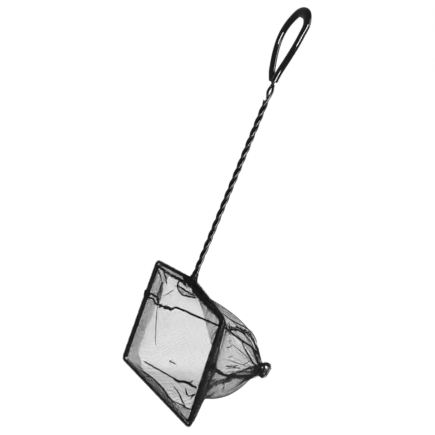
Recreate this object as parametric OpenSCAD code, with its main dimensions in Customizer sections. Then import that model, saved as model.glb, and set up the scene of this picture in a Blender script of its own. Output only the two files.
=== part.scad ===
// Aquarium fish net: a four-sided mouth of coated wire, a handle of three twisted runs of the
// same wire, a hanging loop in a soft grip sleeve, and a sewn netting bag behind the mouth.
// +Z runs up the mouth towards the loop, +X across the mouth, +Y back along the bag. The origin
// is where a peg touches the inside of the loop's top.

/* [Mouth frame] */
// Width of the mouth at its top corners, between wire centres
frame_top_w = 146; // [110:1:190]
// Width of the mouth at its bottom corners, between wire centres
frame_bottom_w = 154; // [110:1:190]
// Height of the mouth's two sides, between corners
frame_h = 124; // [90:1:160]
// Rise of the top side from its corners to the neck
frame_peak = 11; // [6:0.5:18]
// Bend radius of the four corners, to the wire's centre
frame_bend_r = 5; // [3.5:0.5:9]
// Diameter of the coated wire
wire_d = 2.9; // [2.3:0.1:3.4]

/* [Handle] */
// Length of the handle from the neck to where the loop's legs part
handle_len = 228; // [160:1:320]
// Lean of the handle back over the bag, in degrees
handle_lean = 4.3; // [0:0.1:8]
// Whole turns of the twist, below the last part turn
handle_turns = 6; // [4:1:9]
// Gap between neighbouring runs of the twist
strand_gap = 0.12; // [0.06:0.02:0.3]
// Bend radius where two runs turn out of the handle into the mouth
neck_bend_r = 5; // [4:0.5:8]
// Length of the loosened twist below the loop
open_len = 20; // [14:1:30]
// How far the two runs stand apart in the loosened twist, beyond touching
open_gap = 1.5; // [0.4:0.1:2.4]

/* [Hanging loop] */
// Length of the loop, from its parting legs to the grip's centre at the top
loop_len = 78; // [60:1:100]
// Width of the loop between its legs' centres
loop_w = 33; // [26:1:44]
// How far the loop's left leg stands back of the handle's axis at its foot, and the right in front
leg_offset = 1.4; // [0:0.1:2]
// Outer diameter of the grip sleeve on the legs
sleeve_d = 7; // [6.4:0.1:7.2]
// Wall of the grip sleeve
sleeve_wall = 1.4; // [1:0.1:1.6]
// Thickness of the pinched sleeve at the top of the loop, in the loop's plane
sleeve_top_w = 12; // [8:0.5:14]

/* [Bag] */
// Depth of the bag from the mouth's plane to the gathered end
bag_depth = 134; // [100:1:180]
// Thickness of a netting panel with its folds
net_t = 0.9; // [0.6:0.1:1.4]
// Gap between soft pieces that are sewn together
sewn_gap = 0.3; // [0.2:0.05:0.4]
// Thickness of the folded netting round the wire
hem_t = 0.5; // [0.3:0.1:0.8]
// Gap between the wire and the netting folded round it
hem_gap = 0.1; // [0.05:0.05:0.3]
// Width of the hem's flat tail behind the wire
hem_tail = 4; // [2:0.5:8]
// Length of the tuft behind the tie of the gathered end
gather_len = 5; // [3:0.5:8]
// Height of the gathered end
gather_h = 17; // [12:0.5:22]
// Width of the gathered end
gather_w = 8; // [6:0.5:12]

/* [Thread] */
// Diameter of a hem stitch
stitch_d = 0.5; // [0.3:0.1:0.7]
// Length of a hem stitch
stitch_len = 3; // [2:0.5:5]
// Distance between hem stitches
stitch_pitch = 6; // [5.5:0.5:10]
// Diameter of the two seam cords
seam_d = 1.6; // [1:0.1:2]
// Diameter of the thread that ties the knots and the neck
tie_d = 0.9; // [0.6:0.1:1]
// Gap between neighbouring turns of a tie
tie_gap = 0.5; // [0.45:0.05:1]
// Diameter of the two knots on the mouth's sides
knot_d = 4.4; // [3:0.2:6]
// Turns of thread round a knot's side bar
knot_turns = 3; // [2:1:4]
// Turns of thread round the neck
neck_turns = 4; // [3:1:5]
// Turns of thread round the gathered end
apex_turns = 2; // [2:1:4]

/* [Hidden] */

// Shares of a side's height, from its top corner down, where the knots sit
knot_left_share = 0.315;
knot_right_share = 0.41;
// Part of a turn that brings each run to its place at the neck
part_turn_share = 0.2;
// Angles round the handle's axis at the neck: back run, left run, right run
neck_back_angle = 90;
neck_left_angle = 210;
neck_right_angle = 330;
half_turn = 180;
// Angle from the left run to the back run, round the handle's axis
far_turn = (neck_back_angle - neck_left_angle + 2 * half_turn) % (2 * half_turn);
// Sides of a wire, rings of one twist turn, rings of a bend and of the loop
wire_sides = 8;
turn_rings = 11;
bend_rings = 5;
loop_rings = 44;
sleeve_sides = 12;
tie_sides = 6;
tie_rings = 24;
round_fn = 48;

wire_r = wire_d / 2;
sleeve_r = sleeve_d / 2;
bore_r = sleeve_r - sleeve_wall;
hem_r = wire_r + hem_gap + hem_t;
tie_pitch = tie_d + tie_gap;
knot_len = knot_turns * tie_pitch + tie_d;
slope = atan2(2 * frame_peak, frame_top_w);
frame_mid_w = (frame_top_w + frame_bottom_w) / 2;
bag_start = hem_r + hem_tail + sewn_gap;
bag_len = bag_depth - bag_start;

// Radius of the three-run twist and of the two-run crossing, to the wire's centre
twist_r = (wire_d + strand_gap) / sqrt(3);
pair_r = (wire_d + strand_gap) / 2;

// The handle's axis starts at the neck, which is the origin of every piece before it is placed
hang_len = handle_len + loop_len - sleeve_top_w / 2;
hang_point = [0, hang_len * sin(handle_lean), hang_len * cos(handle_lean)];

// Corners of the mouth's wire, as X and Z: neck, left side down, bottom, right side up, neck
mouth = [[0, 0], [-frame_top_w / 2, -frame_peak], [-frame_bottom_w / 2, -frame_peak - frame_h],
    [frame_bottom_w / 2, -frame_peak - frame_h], [frame_top_w / 2, -frame_peak], [0, 0]];

// Where the bends out of the handle end on the sloping top side
neck_x = twist_r * cos(neck_right_angle) + neck_bend_r * (1 - sin(slope));
neck_top = neck_bend_r * cos(slope) - neck_x * tan(slope);

// The loop's centre line, legs first, as shares of its width and length
loop_left_shares = [[-0.175, 0.016], [-0.26, 0.068], [-0.36, 0.147], [-0.497, 0.35],
    [-0.57, 0.54], [-0.521, 0.705], [-0.367, 0.853], [-0.16, 0.967]];
loop_top_shares = [0.075, 1];
loop_right_shares = [[0.282, 0.978], [0.427, 0.875], [0.397, 0.736], [0.321, 0.555],
    [0.206, 0.373], [0.1, 0.198], [0.065, 0.11], [0.052, 0.026]];
// Share of the handle's length, at its top, where the loop's legs leave the twist
crossing_share = 0.0154;
// Share of the loop's length over which its legs come back in line with each other
leg_offset_share = 0.3;

// The sleeve's thickness in the loop's plane against its share along the sleeve: 0 is the
// plain tube and 1 is the pinched top
pinch_shares = [[0, 0], [0.34, 0], [0.43, 0.35], [0.5, 0.95], [0.555, 1], [0.6, 0.55],
    [0.66, 0.08], [0.74, 0], [1, 0]];

// The bag's outline against its share of depth. Widths are shares of half the mouth's width,
// heights are shares of its height below the top corners, and powers set how square it is
bag_right_shares = [[0, 1], [0.08, 0.89], [0.2, 0.78], [0.38, 0.66], [0.56, 0.53],
    [0.74, 0.37], [0.88, 0.2], [1, 0.06]];
bag_left_shares = [[0, 1], [0.08, 0.97], [0.2, 0.91], [0.38, 0.78], [0.56, 0.62],
    [0.74, 0.43], [0.88, 0.24], [1, 0.06]];
bag_top_shares = [[0, 0], [0.08, 0.07], [0.2, 0.12], [0.38, 0.17], [0.56, 0.25],
    [0.74, 0.37], [0.88, 0.52], [1, 0.67]];
bag_bottom_shares = [[0, 1], [0.08, 0.99], [0.2, 0.98], [0.38, 0.955], [0.56, 0.92],
    [0.74, 0.87], [0.88, 0.835], [1, 0.8]];
bag_power_shares = [[0, 12], [0.08, 7], [0.2, 4.5], [0.38, 3.2], [0.56, 2.6], [0.74, 2.3],
    [0.88, 2.1], [1, 2]];
// Angles of the seams round the bag, from +X towards +Z, against its share of depth
seam_right_angles = [[0, 10], [0.27, -3], [0.55, -9], [0.89, 2], [1, 6]];
seam_left_angles = [[0, 165], [0.21, 163], [0.51, 158], [0.78, 152], [1, 146]];
cord_steps = 20;

// The panels' openings, which stand for the netting's fine mesh: how many lie across a panel,
// from each seam to the next corner of the mouth, and along it, the share of a pitch that the
// bar between two of them takes, and the shares of the bag's depth where they start and end
openings_across = 12;
openings_side = 3;
openings_deep = 8;
bar_share = 0.14;
open_from_share = 0.04;
open_to_share = 0.94;

// The waist of the gathered end under its tie, as a share of its size, and the tuft's size
// against its share of length
waist_share = 0.62;
gather_shares = [[0, 0.62], [0.25, 0.85], [0.6, 1], [1, 0.72]];
gather_steps = 6;
gather_sides = 16;
waist_len = apex_turns * tie_pitch + 2 * tie_d;

wire_colour = [0.03, 0.03, 0.03];
sleeve_colour = [0.04, 0.04, 0.045];
net_colour = [0.09, 0.09, 0.1];
thread_colour = [0.02, 0.02, 0.02];

function unit(v) = v / norm(v);
function lerp(a, b, share) = a + (b - a) * share;
function flat(rows) = [for (row = rows) each row];

// The share s of a smooth curve through points p, by the Catmull-Rom rule
function spline(p, s) =
    let (n = len(p) - 1, i = min(floor(s * n), n - 1), t = s * n - i,
        a = p[max(i - 1, 0)], b = p[i], c = p[i + 1], d = p[min(i + 2, n)])
    b + t * (c - a) / 2 + t * t * (a - 2.5 * b + 2 * c - d / 2)
        + t * t * t * (3 * (b - c) + d - a) / 2;

// The direction of a path at its point i
function tangent(path, i) = unit(path[min(i + 1, len(path) - 1)] - path[max(i - 1, 0)]);

// An oval ring round point c, square to direction t: half sizes a and b, a square to side
function ring(c, t, side, a, b, sides) =
    let (n = unit(cross(t, side)), m = cross(t, n))
    [for (k = [0:sides - 1]) c + a * cos(360 * k / sides) * n + b * sin(360 * k / sides) * m];

function path_rings(path, side, r, sides) =
    [for (i = [0:len(path) - 1]) ring(path[i], tangent(path, i), side, r, r, sides)];

// Two triangles for each gap between rings i and i + 1, with first the first point's number
function skin(count, sides, first, out) =
    [for (i = [0:count - 2], k = [0:sides - 1])
        let (a = first + i * sides + k, b = first + i * sides + (k + 1) % sides,
            c = b + sides, d = a + sides)
        each out ? [[a, c, b], [a, d, c]] : [[a, b, c], [a, c, d]]];

// A closed solid through a list of rings
module loft(rings) {
    sides = len(rings[0]);
    last = (len(rings) - 1) * sides;
    lids = [for (k = [1:sides - 2]) each [[0, k, k + 1], [last, last + k + 1, last + k]]];
    polyhedron(flat(rings), concat(skin(len(rings), sides, 0, true), lids), convexity = 10);
}

// A hollow solid between outer and inner rings
module hollow_loft(outer, inner) {
    sides = len(outer[0]);
    count = len(outer);
    first = count * sides;
    lip = (count - 1) * sides;
    rims = [for (k = [0:sides - 1]) let (n = (k + 1) % sides)
        each [[k, n, first + n], [k, first + n, first + k],
            [lip + k, first + lip + n, lip + n], [lip + k, first + lip + k, first + lip + n]]];
    polyhedron(flat(concat(outer, inner)),
        concat(skin(count, sides, 0, true), skin(count, sides, first, false), rims), convexity = 10);
}

// A thin solid between two grids of points, each a list of rows of the same length, with an
// opening at each cell whose row and column are both odd
module openwork(outer, inner) {
    rows = len(outer);
    cols = len(outer[0]);
    first = rows * cols;
    function solid(i, j) = i >= 0 && j >= 0 && i < rows - 1 && j < cols - 1
        && (i % 2 == 0 || j % 2 == 0);
    // The wall under the outer face's edge from point p to point q
    function wall(p, q) = [[p, first + q, q], [p, first + p, first + q]];
    faces = [for (i = [0:rows - 2], j = [0:cols - 2]) if (solid(i, j))
        let (a = i * cols + j, b = a + 1, c = b + cols, d = a + cols)
        each concat([[a, c, b], [a, d, c], [first + a, first + b, first + c],
            [first + a, first + c, first + d]],
            solid(i, j - 1) ? [] : wall(a, d), solid(i + 1, j) ? [] : wall(d, c),
            solid(i, j + 1) ? [] : wall(c, b), solid(i - 1, j) ? [] : wall(b, a))];
    polyhedron(flat(concat(outer, inner)), faces, convexity = 10);
}

module placed() {
    translate(-hang_point) children();
}

// Heading of a side of the mouth, in degrees from +X towards +Z, its straight start and length
function heading(i) = atan2(mouth[i + 1].y - mouth[i].y, mouth[i + 1].x - mouth[i].x);
function along(i) = [cos(heading(i)), 0, sin(heading(i))];
function corner_turn(i) = (heading(i) - heading(i - 1) + 360) % 360;
function corner_len(i) = frame_bend_r * tan(corner_turn(i) / 2);
function side_end(i) =
    i == 0 || i == len(mouth) - 1 ? neck_x / cos(slope) : corner_len(i);
function side_start(i) = [mouth[i].x, 0, mouth[i].y] + along(i) * side_end(i);
function side_len(i) = norm(mouth[i + 1] - mouth[i]) - side_end(i) - side_end(i + 1);

// Children stand at the straight start of side i, with +Z along it and +Y back
module on_side(i) {
    translate(side_start(i)) rotate([0, 90 - heading(i), 0]) children();
}

// The points of the bend at corner i: a point on it stands off its centre, square to its heading
function corner_path(i) =
    let (start = [mouth[i].x, 0, mouth[i].y] - along(i - 1) * corner_len(i),
        centre = start + frame_bend_r * [-sin(heading(i - 1)), 0, cos(heading(i - 1))])
    [for (k = [0:bend_rings]) let (a = heading(i - 1) + corner_turn(i) * k / bend_rings)
        centre + frame_bend_r * [sin(a), 0, -cos(a)]];

module mouth_frame_wire() {
    path = concat([side_start(0)], [for (i = [1:4]) each corner_path(i)],
        [side_start(4) + along(4) * side_len(4)]);
    color(wire_colour) placed() loft(path_rings(path, [0, 1, 0], wire_r, wire_sides));
}

// Height of the twist's two ends on the handle's axis, and what lies between
crossing = handle_len * (1 - crossing_share);
twist_len = crossing - neck_top;
open_start = handle_len - open_len;
turns = handle_turns + part_turn_share;
rings_up = ceil(turns * turn_rings);

// A point of the handle, x and y from its axis and z along it
function lean(x, y, z) = [x, y + z * sin(handle_lean), z * cos(handle_lean)];
// Angle of the run that becomes the loop's right leg, at height z
function twist_angle(z) = neck_left_angle + 360 * turns * (z - neck_top) / twist_len;
// 0 below the loosened twist, 1 at its end
function open_share(z) = max(0, min(1, (z - open_start) / (crossing - open_start)));
function open_r(z) = lerp(twist_r, pair_r, open_share(z))
    + open_gap / 2 * pow(sin(180 * open_share(z)), 2);
// The loop's left leg swings from a third of a turn to half a turn away
function far_angle(z) = lerp(far_turn, half_turn, min(1, 2 * open_share(z)));

function twist_path(offset, low, high) =
    [for (k = [0:rings_up]) let (z = lerp(low, high, k / rings_up), a = twist_angle(z) + offset)
        lean(open_r(z) * cos(a), open_r(z) * sin(a), z)];

// The bend from the sloping top side up into the handle, sign -1 on the left and 1 on the right
function neck_path(sign, angle) =
    [for (k = [0:bend_rings - 1]) let (a = lerp(slope, 90, k / bend_rings),
            z = neck_top - neck_bend_r * cos(a))
        [sign * (neck_x - neck_bend_r * (sin(a) - sin(slope))),
            (twist_r * sin(angle) + neck_top * sin(handle_lean)) * k / bend_rings, z]];

module handle_strand_start() {
    path = [for (k = [0:rings_up]) let (z = lerp(neck_top / 2, crossing, k / rings_up),
            a = twist_angle(z) + far_angle(z))
        lean(open_r(z) * cos(a), open_r(z) * sin(a), z)];
    color(wire_colour) placed() loft(path_rings(path, [0, 1, 0], wire_r, wire_sides));
}

module handle_strand_return() {
    path = concat(neck_path(-1, neck_left_angle), twist_path(0, neck_top, crossing));
    color(wire_colour) placed() loft(path_rings(path, [0, 1, 0], wire_r, wire_sides));
}

module handle_strand_end() {
    path = concat(neck_path(1, neck_right_angle),
        twist_path(neck_right_angle - neck_left_angle, neck_top, open_start));
    color(wire_colour) placed() loft(path_rings(path, [0, 1, 0], wire_r, wire_sides));
}

// The loop's centre line from the left leg's mouth over the top to the right leg's mouth
function loop_place(p, back) =
    lean(p.x * loop_w, back * leg_offset * max(0, 1 - p.y / leg_offset_share),
        handle_len + p.y * loop_len);
loop_places = concat([for (p = loop_left_shares) loop_place(p, 1)],
    [for (p = concat([loop_top_shares], loop_right_shares)) loop_place(p, -1)]);
// The same line with its two ends where the twist stops
wire_ends = [for (offset = [half_turn, 0]) let (a = twist_angle(crossing) + offset)
    lean(pair_r * cos(a), pair_r * sin(a), crossing)];
wire_places = concat([wire_ends[0]], loop_places, [wire_ends[1]]);

module loop_wire() {
    path = [for (k = [0:loop_rings]) spline(wire_places, k / loop_rings)];
    color(wire_colour) placed() loft(path_rings(path, [0, 1, 0], wire_r, wire_sides));
}

module grip_sleeve() {
    path = [for (k = [0:loop_rings]) spline(loop_places, k / loop_rings)];
    function half(k) = lerp(sleeve_r, sleeve_top_w / 2, lookup(k / loop_rings, pinch_shares));
    outer = [for (k = [0:loop_rings])
        ring(path[k], tangent(path, k), [0, 1, 0], half(k), sleeve_r, sleeve_sides)];
    inner = [for (k = [0:loop_rings])
        ring(path[k], tangent(path, k), [0, 1, 0], bore_r, bore_r, sleeve_sides)];
    color(sleeve_colour) placed() hollow_loft(outer, inner);
}

// A point of the bag's outer face, in from it by inset: angle round it, share s of its depth
function bag_point(angle, s, inset) =
    let (power = lookup(s, bag_power_shares),
        reach = pow(pow(abs(cos(angle)), power) + pow(abs(sin(angle)), power), -1 / power),
        wide = lookup(s, cos(angle) > 0 ? bag_right_shares : bag_left_shares) * frame_mid_w / 2,
        top = -frame_peak - frame_h * lookup(s, bag_top_shares),
        low = -frame_peak - frame_h * lookup(s, bag_bottom_shares),
        across = reach * cos(angle),
        up = reach * sin(angle),
        flare = 1 - (frame_bottom_w - frame_top_w) / frame_mid_w * (1 - s) * up / 2,
        roof = frame_peak * pow(1 - s, 3) * (1 - abs(across)) * max(0, up))
    [(wide - inset) * across * flare, bag_start + s * bag_len,
        (top + low) / 2 + ((top - low) / 2 - inset) * up + roof];

// Half the angle that a seam leaves open between the panels
seam_gap_angle = 0.25;

// Where bars and openings start in turn across a panel, counted in openings
bar_edges = [for (k = [0:openings_across], edge = [k - bar_share / 2, k + bar_share / 2])
    min(max(edge, 0), openings_across)];

// Where they start in turn along it, as shares of the bag's depth
depth_shares = let (pitch = (open_to_share - open_from_share) / (openings_deep - bar_share))
    [0, for (k = [0:openings_deep - 1], edge = [k, k + 1 - bar_share])
        open_from_share + edge * pitch, 1];

// The angle at u openings across a panel, whose first corner is at angle corner
function panel_angle(low, high, corner, u) =
    lookup(u, [[0, low + seam_gap_angle], [openings_side, corner],
        [openings_across - openings_side, corner + half_turn / 2],
        [openings_across, high - seam_gap_angle]]);

// A panel reaches from the seam low to the seam high, each a list of angles against depth
function panel_grid(low, high, corner, inset) =
    [for (u = bar_edges) [for (s = depth_shares)
        bag_point(panel_angle(lookup(s, low), lookup(s, high), corner, u), s, inset)]];

module panel(low, high, corner) {
    color(net_colour) placed()
        openwork(panel_grid(low, high, corner, 0), panel_grid(low, high, corner, net_t));
}

module bag_upper_panel() {
    panel(seam_right_angles, seam_left_angles, half_turn / 4);
}

module bag_lower_panel() {
    panel(seam_left_angles, [for (row = seam_right_angles) row + [0, 2 * half_turn]],
        half_turn + half_turn / 4);
}

// A hem is a sleeve of folded netting round one side's wire, with a flat tail behind it, which
// is open over open_length from open_from where a knot's thread goes through it
module hem(i, open_from = 0, open_length = 0) {
    color(net_colour) placed() on_side(i) difference() {
        union() {
            cylinder(h = side_len(i), r = hem_r, $fn = round_fn);
            translate([-hem_t / 2, 0, 0]) cube([hem_t, hem_r + hem_tail, side_len(i)]);
        }
        translate([0, 0, -hem_t])
            cylinder(h = side_len(i) + 2 * hem_t, r = wire_r + hem_gap, $fn = round_fn);
        if (open_length > 0)
            translate([-hem_t, hem_r + hem_gap, open_from])
                cube([2 * hem_t, 2 * hem_tail, open_length]);
    }
}

// How far along the straight of side i a knot's thread starts
function knot_start(i, share) = share * norm(mouth[i + 1] - mouth[i]) - side_end(i);

module knotted_hem(i, share) {
    hem(i, knot_start(i, share) - tie_d, knot_len + tie_d);
}

module hem_top_left() { hem(0); }
module hem_left() { knotted_hem(1, knot_left_share); }
module hem_bottom() { hem(2); }
module hem_right() { knotted_hem(3, 1 - knot_right_share); }
module hem_top_right() { hem(4); }

// A row of stitches on the inner face of a hem's tail
module stitches(i) {
    count = floor((side_len(i) - stitch_len) / stitch_pitch);
    rest = side_len(i) - count * stitch_pitch - stitch_len;
    color(thread_colour) placed() on_side(i)
        for (k = [0:count])
            translate([-(hem_t + stitch_d) / 2, hem_r + hem_tail / 2,
                    rest / 2 + k * stitch_pitch])
                cylinder(h = stitch_len, d = stitch_d, $fn = round_fn);
}

module stitches_top_left() { stitches(0); }
module stitches_left() { stitches(1); }
module stitches_bottom() { stitches(2); }
module stitches_right() { stitches(3); }
module stitches_top_right() { stitches(4); }

// A cord laid along a seam, on the outside of the bag
module seam_cord(angles) {
    path = [for (k = [0:cord_steps]) let (s = k / cord_steps)
        bag_point(lookup(s, angles), s, -seam_d / 2 - sewn_gap)];
    color(thread_colour) placed() loft(path_rings(path, [0, 0, 1], seam_d / 2, tie_sides));
}

module seam_cord_left() { seam_cord(seam_left_angles); }
module seam_cord_right() { seam_cord(seam_right_angles); }

// Thread wound round the Z axis, on half sizes a and b to its centre line
module winding(a, b, turns, pitch) {
    path = [for (k = [0:turns * tie_rings]) let (angle = 360 * k / tie_rings)
        [a * cos(angle), b * sin(angle), pitch * k / tie_rings]];
    loft(path_rings(path, [0, 0, 1], tie_d / 2, tie_sides));
}

// Thread round a side's hem, with a knot on the outside of the mouth
module tie_knot(i, share) {
    wound_r = hem_r + tie_d / 2 + sewn_gap;
    color(thread_colour) placed() on_side(i) translate([0, 0, knot_start(i, share)]) {
        winding(wound_r, wound_r, knot_turns, tie_pitch);
        translate([-(wound_r + tie_d / 2 + knot_d / 2), 0, knot_turns * tie_pitch / 2])
            sphere(d = knot_d, $fn = round_fn);
    }
}

module tie_knot_left() { tie_knot(1, knot_left_share); }
module tie_knot_right() { tie_knot(3, 1 - knot_right_share); }

module neck_lashing() {
    wound_r = twist_r + wire_r + tie_d / 2 + sewn_gap;
    color(thread_colour) placed() rotate([-handle_lean, 0, 0])
        translate([0, 0, neck_top + tie_d]) winding(wound_r, wound_r, neck_turns, tie_pitch);
}

// The centre of the bag's end ring
bag_end = [0, bag_depth, -frame_peak
    - frame_h * (lookup(1, bag_top_shares) + lookup(1, bag_bottom_shares)) / 2];

function gather_ring(y, share) = ring(bag_end + [0, sewn_gap + y, 0], [0, 1, 0], [0, 0, 1],
    share * gather_w / 2, share * gather_h / 2, gather_sides);

module apex_gather() {
    tuft = [for (i = [0:gather_steps]) let (s = i / gather_steps)
        gather_ring(waist_len + s * gather_len, lookup(s, gather_shares))];
    color(net_colour) placed() loft(concat([gather_ring(0, waist_share)], tuft));
}

module apex_tie() {
    out = tie_d / 2 + sewn_gap;
    color(thread_colour) placed() translate(bag_end + [0, sewn_gap + tie_d, 0])
        rotate([-90, 0, 0]) winding(waist_share * gather_w / 2 + out,
            waist_share * gather_h / 2 + out, apex_turns, tie_pitch);
}

mouth_frame_wire();
handle_strand_start();
handle_strand_return();
handle_strand_end();
loop_wire();
grip_sleeve();
bag_upper_panel();
bag_lower_panel();
hem_top_left();
hem_top_right();
hem_left();
hem_bottom();
hem_right();
stitches_top_left();
stitches_top_right();
stitches_left();
stitches_bottom();
stitches_right();
seam_cord_left();
seam_cord_right();
tie_knot_left();
tie_knot_right();
neck_lashing();
apex_gather();
apex_tie();
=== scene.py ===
"""Dresses the aquarium fish net: coated wire, a glossy grip, fine netting and its sewing.

Lengths are in metres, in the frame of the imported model: +Z up the mouth towards the hanging
loop, +X across the mouth, +Y from the mouth back along the bag, and the origin where a peg
touches the inside of the loop's top. Tables and sizes of pieces are in millimetres.
"""
import logging
import math
from dataclasses import dataclass
from enum import Enum

import bpy
import numpy as np
from mathutils import Matrix


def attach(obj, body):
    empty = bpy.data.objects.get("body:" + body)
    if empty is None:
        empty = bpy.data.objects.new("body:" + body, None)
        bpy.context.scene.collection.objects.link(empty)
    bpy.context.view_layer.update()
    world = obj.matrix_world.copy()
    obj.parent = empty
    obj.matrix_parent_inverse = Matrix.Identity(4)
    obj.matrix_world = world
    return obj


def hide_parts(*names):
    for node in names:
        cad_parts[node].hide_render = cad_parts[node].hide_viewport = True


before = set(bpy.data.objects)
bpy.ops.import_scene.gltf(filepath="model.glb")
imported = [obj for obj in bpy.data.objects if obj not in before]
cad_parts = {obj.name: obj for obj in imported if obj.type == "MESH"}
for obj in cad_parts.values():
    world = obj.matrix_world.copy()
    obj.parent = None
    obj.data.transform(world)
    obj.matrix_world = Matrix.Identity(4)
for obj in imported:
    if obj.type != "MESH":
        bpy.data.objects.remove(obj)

Array = np.ndarray
Nodes = bpy.types.NodeTree
Socket = bpy.types.NodeSocket
Piece = bpy.types.Object
# Rows of numbers: places with their values, waves, or the places of a line
Table = tuple[tuple[float, ...], ...]
LOG = logging.getLogger("fish_net")
MM = 0.001
FULL_TURN = 2 * math.pi
BACKWARDS, UPWARDS = np.eye(3)[1:]
WHITE = (1, 1, 1, 1)
# The neck, where the handle's axis meets the mouth, seen from the hanging point
NECK = np.array([0.0, -22.49, -299.16]) * MM


# Numbers and curves


def unit(vectors: Array) -> Array:
    """Vectors scaled to length one along their last axis."""
    return vectors / np.maximum(np.linalg.norm(vectors, axis=-1, keepdims=True), 1e-12)


def travelled(path: Array) -> Array:
    """How far along a path each of its places lies."""
    return np.concatenate([[0], np.cumsum(np.linalg.norm(np.diff(path, axis=0), axis=1))])


def spline(points: Array, count: int) -> Array:
    """A smooth curve through points by the Catmull-Rom rule.

    On the stretch from b to c with neighbours a and d, the place at share t is
    b + t(c-a)/2 + t^2(a - 2.5b + 2c - d/2) + t^3(3(b-c) + d - a)/2.

    Args:
        points: the places to pass through, one row each.
        count: how many places to return.

    Returns:
        The curve, one row a place.
    """
    points = np.asarray(points, float)
    last = len(points) - 1
    where = np.linspace(0, last, count)
    i = np.minimum(where.astype(int), last - 1)
    t = (where - i)[:, None]
    a, b = points[np.maximum(i - 1, 0)], points[i]
    c, d = points[i + 1], points[np.minimum(i + 2, last)]
    curve = b + t * (c - a) / 2 + t**2 * (a - 2.5 * b + 2 * c - d / 2)
    return curve + t**3 * (3 * (b - c) + d - a) / 2


def read_off(table: Table, where: Array) -> Array:
    """Values of a table between its rows, by cubic Hermite with centred slopes.

    Args:
        table: rows of place and value, places rising.
        where: the places to read.

    Returns:
        One value for each place, held level beyond both ends.
    """
    x, y = np.array(table, float).T
    slope = np.gradient(y, x)
    where = np.clip(where, x[0], x[-1])
    i = np.clip(np.searchsorted(x, where, side="right") - 1, 0, len(x) - 2)
    step = x[i + 1] - x[i]
    t = (where - x[i]) / step
    value = (1 + 2 * t) * (1 - t) ** 2 * y[i] + t * (1 - t) ** 2 * step * slope[i]
    return value + t**2 * (3 - 2 * t) * y[i + 1] + t**2 * (t - 1) * step * slope[i + 1]


def soft_step(low: float, high: float, where: Array) -> Array:
    """0 below low, 1 above high and a smooth rise between: 3t^2 - 2t^3."""
    t = np.clip((where - low) / (high - low), 0, 1)
    return t * t * (3 - 2 * t)


def ripple(where: Array, waves: Table) -> Array:
    """A sum of sines, each of them given as size, waves per unit and start in turns."""
    return sum(a * np.sin(FULL_TURN * (n * where + start)) for a, n, start in waves)


# Meshes


class Ends(Enum):
    """How a tube ends."""

    FLAT = "flat"
    ROUND = "round"


@dataclass
class Shape:
    """A mesh in the making: points, faces by corner count, and each corner's place in maps."""

    points: Array
    faces: list[Array]
    maps: list[Array]


def join(shapes: list[Shape]) -> Shape:
    """One shape of several.

    Args:
        shapes: the shapes.

    Returns:
        The shape, its points in the same order.
    """
    first = np.cumsum([0] + [len(s.points) for s in shapes])
    faces = [f + n for s, n in zip(shapes, first) for f in s.faces]
    return Shape(np.concatenate([s.points for s in shapes]), faces, [m for s in shapes for m in s.maps])


def ring_faces(rows: int, sides: int) -> Array:
    """Four-sided faces between neighbouring rings of a tube.

    Args:
        rows: how many rings.
        sides: places in a ring.

    Returns:
        The faces, ring by ring.
    """
    i, j = np.meshgrid(np.arange(rows - 1), np.arange(sides), indexing="ij")
    a, b = i * sides + j, i * sides + (j + 1) % sides
    return np.stack([a, b, b + sides, a + sides], -1).reshape(-1, 4)


def ring_maps(along: Array, sides: int) -> Array:
    """Map places of those faces.

    Args:
        along: how far along each ring is.
        sides: places in a ring.

    Returns:
        Share round the tube and distance along it, for each corner.
    """
    i, j = np.divmod(np.arange((len(along) - 1) * sides), sides)
    across = np.stack([j, j + 1, j + 1, j], -1) / sides
    return np.stack([across, along[np.stack([i, i, i + 1, i + 1], -1)]], -1)


def rings(line: Array, sizes: Array, normal: Array, binormal: Array, sides: int) -> Array:
    """A ring of places round each place of a line.

    The rule is centre + a cos(turn) normal + b sin(turn) binormal.

    Args:
        line: the centres.
        sizes: each ring's two half sizes, a and b.
        normal, binormal: the directions that a and b point in.
        sides: places in a ring.

    Returns:
        The places, by ring and by side.
    """
    turn = FULL_TURN * np.arange(sides) / sides
    over = (sizes[:, :1] * np.cos(turn))[..., None] * normal[:, None]
    return line[:, None] + over + (sizes[:, 1:] * np.sin(turn))[..., None] * binormal[:, None]


def frames(path: Array, side: Array) -> tuple[Array, Array, Array]:
    """Directions along a path: normal = heading x side, and binormal = heading x normal.

    Args:
        path: the path.
        side: a direction, or one a place, that the path never takes.

    Returns:
        Heading, normal and binormal.
    """
    heading = unit(np.gradient(path, axis=0))
    normal = unit(np.cross(heading, side))
    return heading, normal, np.cross(heading, normal)


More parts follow.
